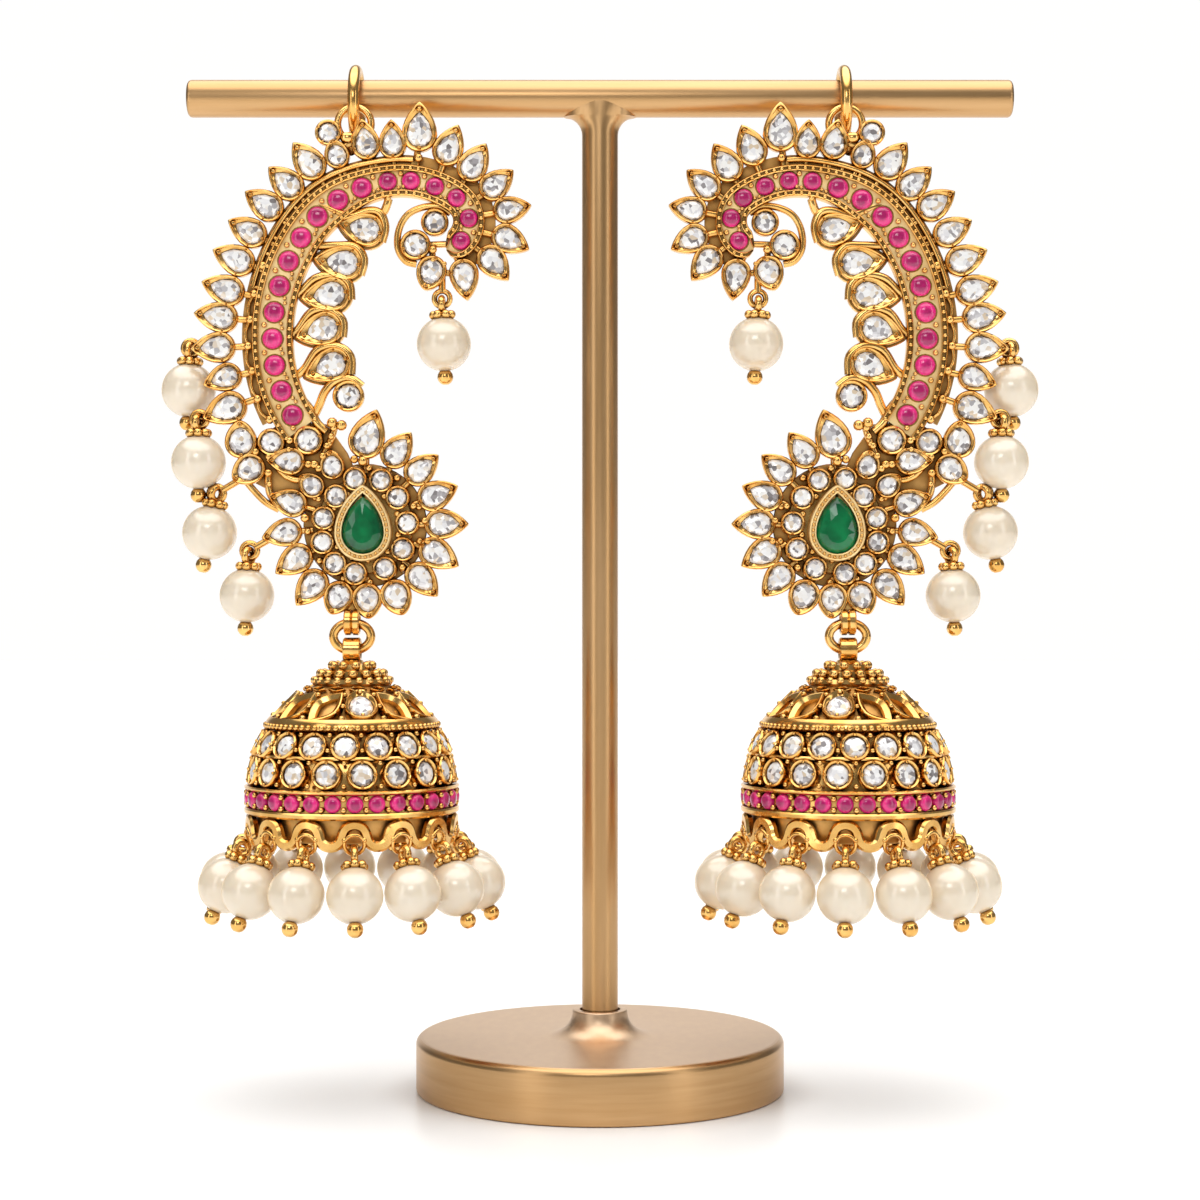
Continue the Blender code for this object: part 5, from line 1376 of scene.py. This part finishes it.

# %% [markdown]
# ## The bell
# The jhumka is a shell of revolution, so it is drawn about its own upright axis, as radius and height. A
# recessed wall holds two rows of collets, a band of rubies runs below them, and the dome above is made of
# petal frames. A liner of darker gold, painted shade, stands a little way inside the dome.

# %% Bell walls
BELL_PLACE = Matrix.Translation((HANG_X * MM, -(PLATE_BACK + PLATE_MIDDLE) * MM, BAR_Z * MM)) @ TO_METRES


def lathe_ring(profile, count):
    """Hollow ring of revolution from a closed loop of (radius, height) points."""
    return stack_rings([circle(radius, height, count) for radius, height in profile], closed=True)


CAP_STEPS = (
    # radius, height of the cap's steps
    (NEAR_AXIS, -70.6), (4.5, -70.3), (4.75, -69.9), (4.7, -69.4), (3.6, -69.2), (3.5, -68.5),
    (2.6, -68.3), (2.5, -67.7), (1.5, -67.5), (1.2, -67.2), (NEAR_AXIS, -67.1),
)
LINER = (
    (8.5, -74.6), (7.4, -73.1), (6.3, -71.7), (4.9, -70.4),
    (4.2, -70.0), (4.2, -70.9), (5.7, -72.3), (7.5, -74.9),
)
RECESSED_WALL = (
    (9.0, -74.6), (10.2, -77.2), (11.0, -80.0), (11.3, -82.2),
    (10.8, -82.2), (10.4, -80.0), (9.6, -77.2), (8.5, -74.8),
)
BEAD_BAND = ((9.0, -75.2), (10.0, -75.2), (10.15, -75.0), (10.05, -74.2), (9.7, -73.8), (9.0, -73.8))
MIDDLE_LINE = ((10.6, -78.4), (11.45, -78.3), (11.5, -78.1), (11.4, -77.95), (10.6, -77.9))
INNER_WALL = ((10.7, -84.8), (11.3, -84.8), (11.3, -87.6), (11.1, -87.8), (10.8, -87.6))
RUBY_BAND = (
    (10.9, -85.05), (12.4, -85.05), (12.6, -84.85), (12.6, -84.50), (12.45, -84.30), (11.95, -84.25),
    (11.95, -82.3), (12.45, -82.2), (12.6, -82.05), (12.6, -81.90), (12.4, -81.75), (10.9, -81.75),
)
BAIL_HOLE, BAIL_WALL, BAIL_HALF_BAND = 0.95, 0.5, 1.03
bell_parts = [to_mesh(lathe(CAP_STEPS, count=48), GOLD, STEPPED)]
for profile, finish, sharp_angle, count in (
    # section of the ring, finish, sharp angle in degrees, sides
    # the liner and the inner wall are painted shade, in the darker gold
    (LINER, PAINTED_SHADE_GOLD, TURNED, 96),
    (RECESSED_WALL, GOLD, TURNED, 96),
    (BEAD_BAND, GOLD, STEPPED, 96),
    (MIDDLE_LINE, GOLD, STEPPED, 96),
    (INNER_WALL, PAINTED_SHADE_GOLD, TURNED, 96),
    (RUBY_BAND, GOLD, STEPPED, 128),
):
    bell_parts.append(to_mesh(lathe_ring(profile, count), finish, sharp_angle))
bail_place = Matrix.Translation((0, 0, BAIL_Y)) @ Matrix.Rotation(math.pi / 2, 4, "X")
bell_parts.append(to_mesh(moved(band(BAIL_HOLE, BAIL_WALL, BAIL_HALF_BAND), bail_place), GOLD, BEVELLED))
print("bell walls", len(bell_parts))

# %% Bell stones and granules
def round_the_bell(radius, height, count, phase=0.0, tilt=0.0):
    """Places round the bell's axis that face outwards: x is up, tilt leans the face upwards."""
    places = []
    for step in range(count):
        angle = 2 * math.pi * (step + phase) / count - math.pi / 2
        face = Matrix.Rotation(angle, 4, "Z") @ Matrix.Rotation(math.radians(90 - tilt), 4, "Y")
        spot = Matrix.Translation((radius * math.cos(angle), radius * math.sin(angle), height))
        places.append(spot @ face @ Matrix.Rotation(math.radians(180), 4, "Z"))
    return places


def balls_round(radius, height, count, size, phase=0.0):
    places = [(place, (size, size, size)) for place in round_the_bell(radius, height, count, phase)]
    return copies(grain_mesh, places, GOLD)


ROW_COUNT, RUBY_COUNT, RUBY_PHASE = 18, 30, 0.61
RUBY_SIZE, RUBY_RING_RADIUS, RUBY_RING_HEIGHT = (0.99, 0.99, 0.95), 12.0, -83.25
ROW_PROUD = 0.35
STONE_ROWS = (
    # radius, height, share of a place that the row is turned by, tilt, size
    (10.85, -76.8, 0.08, 27.0, 1.09),
    (11.75, -79.95, 0.57, 12.0, 1.10),
)
BALL_ROWS = (
    # radius, height, count, ball radius, share of a place that the row is turned by
    (10.25, -75.55, ROW_COUNT, 0.32, 0.58),
    (11.25, -77.2, ROW_COUNT, 0.28, 0.58),
    (11.75, -78.6, ROW_COUNT, 0.28, 0.07),
    (12.15, -81.2, ROW_COUNT, 0.30, 0.07),
    (10.10, -74.75, 76, 0.36, 0.0),
    (2.35, -67.85, 10, 0.58, 0.45),
    (3.70, -68.80, 15, 0.60, 0.30),
    (4.45, -69.55, 22, 0.48, 0.0),
)
RUBY_BALL_ROWS = (
    (12.32, -82.62, RUBY_COUNT, 0.34, RUBY_PHASE + 0.5),
    (12.32, -83.88, RUBY_COUNT, 0.34, RUBY_PHASE + 0.5),
)
for radius, height, phase, tilt, size in STONE_ROWS:
    bell_parts += collets_at("round", [
        (place @ Matrix.Translation((0, 0, ROW_PROUD - RIM_TOP)), (size, size, 1.0))
        for place in round_the_bell(radius, height, ROW_COUNT, phase, tilt)
    ])
bell_parts += [balls_round(*row) for row in BALL_ROWS]
ruby_ring = [
    (place, RUBY_SIZE) for place in round_the_bell(RUBY_RING_RADIUS, RUBY_RING_HEIGHT, RUBY_COUNT, RUBY_PHASE)
]
bell_parts.append(copies(ruby_mesh, ruby_ring, RUBY))
bell_parts += [balls_round(*row) for row in RUBY_BALL_ROWS]
print("bell parts", len(bell_parts))

# %% [markdown]
# The dome has a stone in front and behind, and a leaning petal frame in each cell between. The frames are
# pierced right through, so the liner, dark with painted shade, shows between their walls.

# %% Petal frames of the dome
FRAME_HALF, FRAME_LENGTH, FRAME_WALL, FRAME_DEPTH = 1.74, 2.75, 0.70, 0.9
DOME_CELLS, DOME_PHASE, DOME_PROUD, DOME_STONE_SIZE = 12, 0.45, 0.3, (1.1, 1.12, 1.0)
DOME_RADIUS, DOME_HEIGHT, DOME_TILT, DOME_LEAN = 8.0, -72.35, 44.0, 34.0
FRAME_POINT, FRAME_EDGE, FRAME_DROP, FRAME_CREST = 1.8, 0.08, 0.14, 0.02
FRAME_RIDGE, FRAME_LEDGE = 0.3, 0.30


def petal_frame(half, length, wall, depth, count=24):
    """Pointed oval ring about its centre, with its points on the x axis."""
    outline = []
    for step in range(count):
        turn = 2 * math.pi * step / count
        along = math.cos(turn)
        side = half * (1 - abs(along) ** FRAME_POINT)
        outline.append(Vector((length * along, math.copysign(side, math.sin(turn)))))
    inner = inset(outline, wall)
    rings = [ring_at(outline, -depth), ring_at(outline, -FRAME_DROP)]
    rings.append(ring_at(inset(outline, FRAME_EDGE), 0.0))
    rings.append(ring_at(inset(outline, FRAME_RIDGE * wall), FRAME_CREST))
    rings += [ring_at(inner, -FRAME_LEDGE), ring_at(inner, -depth)]
    return stack_rings(rings, closed=True)


frame_mesh = to_mesh(petal_frame(FRAME_HALF, FRAME_LENGTH, FRAME_WALL, FRAME_DEPTH), GOLD, BEVELLED)
cells = round_the_bell(DOME_RADIUS, DOME_HEIGHT, DOME_CELLS, DOME_PHASE, DOME_TILT)
frame_places, stone_places = [], []
half_way = DOME_CELLS // 2
for step, place in enumerate(cells):
    if step % half_way == 0:
        stone_places.append((place @ Matrix.Translation((0, 0, DOME_PROUD - RIM_TOP)), DOME_STONE_SIZE))
    else:
        lean = DOME_LEAN if step < half_way else -DOME_LEAN
        frame_places.append((place @ Matrix.Rotation(math.radians(lean), 4, "Z"), (1.0, 1.0, 1.0)))
bell_parts.append(copies(frame_mesh, frame_places, GOLD))
bell_parts += collets_at("short", stone_places)
print("petal frames", len(frame_places))

# %% Small frames and balls of the dome
SMALL_FRAME_HALF, SMALL_FRAME_LENGTH, SMALL_FRAME_WALL, SMALL_FRAME_DEPTH = 0.42, 1.05, 0.2, 0.4
SMALL_RADIUS, SMALL_HEIGHT, SMALL_COUNT, SMALL_PHASE, SMALL_TILT = 5.55, -70.35, 14, 0.5, 52.0
DOME_BALL_ROWS = (
    # radius, height, count, ball radius, share of a place that the row is turned by
    (9.3, -73.7, DOME_CELLS, 0.38, DOME_PHASE + 0.5),
    (6.4, -71.1, DOME_CELLS, 0.32, DOME_PHASE + 0.5),
    (8.1, -72.3, DOME_CELLS, 0.30, DOME_PHASE + 0.5),
)
small_frame = petal_frame(SMALL_FRAME_HALF, SMALL_FRAME_LENGTH, SMALL_FRAME_WALL, SMALL_FRAME_DEPTH, 16)
small_places = [
    (place @ Matrix.Rotation(math.pi / 2, 4, "Z"), (1, 1, 1))
    for place in round_the_bell(SMALL_RADIUS, SMALL_HEIGHT, SMALL_COUNT, SMALL_PHASE, SMALL_TILT)
]
bell_parts.append(copies(to_mesh(small_frame, GOLD, BEVELLED), small_places, GOLD))
bell_parts += [balls_round(*row) for row in DOME_BALL_ROWS]
print("small frames", len(small_places))

# %% [markdown]
# Below the rubies runs a waved band: arches and troughs in one strip, cut through under each arch. A strip
# is swept along the wave, and its section has a bevel that catches the light.

# %% Waved band
WAVES, BELL_TURN = 14, math.radians(7.0)
WAVE_PHASE = BELL_TURN * WAVES / (2 * math.pi)
WAVE_RADIUS, WAVE_TOP, WAVE_FOOT = 12.1, -84.98, -88.65
STRIP, STRIP_DEPTH, WAVE_SWELL, WAVE_STEPS, TURN_STEP = 1.24, 0.42, 0.26, 26, 0.01
STRIP_SECTION = (
    # place across the strip as a share of its width, depth as a share of half its depth
    (-0.5, -1), (-0.5, 0.3), (-0.28, 1), (0.28, 1), (0.5, 0.3), (0.5, -1),
)


def wave_point(turn):
    """Distance round the bell and height of the strip's middle line, at a turn of the wave in radians."""
    pitch = 2 * math.pi * WAVE_RADIUS / WAVES
    along = turn / (2 * math.pi) * pitch + WAVE_SWELL * math.sin(2 * turn)
    height = (WAVE_TOP + WAVE_FOOT) / 2 + (WAVE_TOP - WAVE_FOOT - STRIP) / 2 * math.cos(turn)
    return Vector((along, height))


wave_rings = []
for step in range(WAVES * WAVE_STEPS):
    turn = 2 * math.pi * step / WAVE_STEPS
    here = wave_point(turn)
    along = (wave_point(turn + TURN_STEP) - wave_point(turn - TURN_STEP)).normalized()
    across = Vector((-along.y, along.x))
    ring = []
    for side, depth in STRIP_SECTION:
        spot = here + across * side * STRIP
        angle = spot.x / WAVE_RADIUS - math.pi / 2 + BELL_TURN
        radius = WAVE_RADIUS + depth * STRIP_DEPTH
        ring.append((radius * math.cos(angle), radius * math.sin(angle), spot.y))
    wave_rings.append(ring)
bell_parts.append(to_mesh(stack_rings(wave_rings, closed=True), GOLD, WAVED))
print("wave stations", len(wave_rings))

# %% Scroll balls and rings under the arches
SCROLL_RADIUS, SCROLL_HEIGHT, SCROLL_SHIFT, SCROLL_BALL = 12.4, -87.25, 0.20, 0.34
ARCH_RING, ARCH_WIRE, ARCH_RADIUS, ARCH_HEIGHT, ARCH_TILT = 1.12, 0.24, 12.3, -87.75, -10.0
scroll_places = []
for step in range(WAVES):
    for side in (-1, 1):
        angle = 2 * math.pi * (step + side * SCROLL_SHIFT) / WAVES - math.pi / 2 + BELL_TURN
        spot = (SCROLL_RADIUS * math.cos(angle), SCROLL_RADIUS * math.sin(angle), SCROLL_HEIGHT)
        scroll_places.append(grain_at(spot, SCROLL_BALL))
bell_parts.append(copies(grain_mesh, scroll_places, GOLD))
ring_mesh = to_mesh(torus(ARCH_RING, ARCH_WIRE, steps=24, sides=8), GOLD, ROUNDED)
ring_places = [
    (place, (1, 1, 1)) for place in round_the_bell(ARCH_RADIUS, ARCH_HEIGHT, WAVES, WAVE_PHASE, ARCH_TILT)
]
bell_parts.append(copies(ring_mesh, ring_places, GOLD))
finish_piece("bell_jewelled", bell_parts, BELL_PLACE, "SIDE_drop", ["SIDE_bell"])

# %% [markdown]
# A pearl drop hangs from each arch. The bell flares, so each drop stands a little outside the edge and leans
# in towards the arch that it hangs from.

# %% Bell pearls
BELL_PEARL_RADIUS, BELL_PEARL_HEIGHT, BELL_PEARL_TILT = 15.0, -93.2, 24.0
bell_rows = []
for step in range(WAVES):
    angle = 2 * math.pi * step / WAVES - math.pi / 2 + BELL_TURN
    out = Vector((math.cos(angle), math.sin(angle), 0))
    centre = out * BELL_PEARL_RADIUS + Vector((0, 0, BELL_PEARL_HEIGHT))
    lean = math.radians(BELL_PEARL_TILT)
    top = centre - out * math.sin(lean) + Vector((0, 0, math.cos(lean)))
    bell_rows.append((centre, top, math.degrees(angle)))
pearl_places = drop_places(bell_rows)
bell_nodes = [f"SIDE_bell_pearl_{number:02d}" for number in range(1, WAVES + 1)]
finish_piece(
    "bell_pearl_drops", [copies(pearl_mesh, pearl_places, PEARL), copies(fittings_mesh, pearl_places, GOLD)],
    BELL_PLACE, "SIDE_drop", bell_nodes
)

# %% [markdown]
# ## Studio
# The jewel stands on a white table against white. The light comes from wide soft boxes, and the room in
# front is dimmer, so that the gold has something dark to reflect beside the bright boxes.

# %% Table
TABLE_HALF, TABLE_GRAIN, TABLE_SMOOTH, TABLE_ROUGH = 2.0, 30.0, 0.26, 0.34


def table_finish():
    material, tree, shader = new_material("white_table", (0.96, 0.96, 0.96), 0.30, 0.0)
    vary_roughness(tree, shader, object_noise(tree, TABLE_GRAIN), TABLE_SMOOTH, TABLE_ROUGH)
    return material


table = bpy.data.meshes.new("table")
corners = [(x * TABLE_HALF, y * TABLE_HALF, 0) for x, y in ((-1, -1), (1, -1), (1, 1), (-1, 1))]
table.from_pydata(corners, [], [(0, 1, 2, 3)])
table.materials.append(table_finish())
table_top = bpy.data.objects.new("table_top", table)
bpy.context.scene.collection.objects.link(table_top)

print("table", 2 * TABLE_HALF, "m wide")

# %% [markdown]
# The world is a room made of directions: white paper behind the jewel, a bright ceiling, and a faint panel
# straight in front. Everything else is dim, which draws the dark lines in polished gold.

# %% World
ROOM, PAPER, CEILING, FRONT = 0.20, 1.02, 2.40, 0.05
WARM_WHITE = (1.0, 0.99, 0.975, 1.0)
world = bpy.data.worlds.new("studio")
bpy.context.scene.world = world
world.use_nodes = True
world_tree = world.node_tree
background = world_tree.nodes["Background"]
direction = add_node(world_tree, "ShaderNodeTexCoord")
split = add_node(world_tree, "ShaderNodeSeparateXYZ", [(direction.outputs["Generated"], "Vector")])
glows = [
    add_node(
        world_tree, "ShaderNodeMapRange", [(split.outputs[axis], "Value")],
        From_Min=start, From_Max=full, To_Min=dim, To_Max=bright
    )
    for axis, start, full, dim, bright in (
        # axis of the direction, where the glow starts and is full, strength before and there
        ("Y", 0.78, 0.93, ROOM, PAPER),
        ("Z", 0.66, 0.80, 0.0, CEILING),
        ("Y", -0.95, -0.985, 0.0, FRONT),
    )
]
total = glows[0]
for glow in glows[1:]:
    total = add_node(
        world_tree, "ShaderNodeMath", [(total.outputs[0], 0), (glow.outputs[0], 1)], operation="ADD"
    )
world_tree.links.new(total.outputs[0], background.inputs["Strength"])
set_sockets(background, Color=WARM_WHITE)
print("glows", len(glows))

# %% Lights and camera
LIGHTS = (
    # name, place, aim, width, height, power in watts
    ("left_box", (-0.36, -0.40, 0.20), (0, 0, 0.07), 0.12, 0.42, 0.30),
    ("right_box", (0.42, -0.34, 0.20), (0, 0, 0.07), 0.08, 0.42, 0.26),
    ("front_box", (-0.06, -0.48, 0.30), (0, 0, 0.06), 0.17, 0.12, 0.30),
)
for name, place, aim, width, height, power in LIGHTS:
    light = bpy.data.lights.new(name, "AREA")
    light.shape, light.size, light.size_y, light.energy = "RECTANGLE", width, height, power
    lamp = bpy.data.objects.new(name, light)
    lamp.location = place
    lamp.rotation_euler = (Vector(aim) - Vector(place)).to_track_quat("-Z", "Y").to_euler()
    bpy.context.scene.collection.objects.link(lamp)

CAMERA_DISTANCE, CAMERA_HEIGHT, LENS, SENSOR, CLIP_START = 0.288, 0.05856, 72.0, 36.0, 0.01
camera = bpy.data.objects.new("camera", bpy.data.cameras.new("camera"))
camera.location = (0, -CAMERA_DISTANCE, CAMERA_HEIGHT)
camera.rotation_euler = (math.pi / 2, 0, 0)
camera.data.lens = LENS
camera.data.sensor_width = SENSOR
camera.data.clip_start = CLIP_START
bpy.context.scene.collection.objects.link(camera)
bpy.context.scene.camera = camera
bpy.context.scene.view_settings.view_transform = "Standard"
print("lights", len(LIGHTS), "camera", CAMERA_DISTANCE, "m away")

# %% Finish
for mesh in list(bpy.data.meshes):
    if mesh.users == 0:
        bpy.data.meshes.remove(mesh)
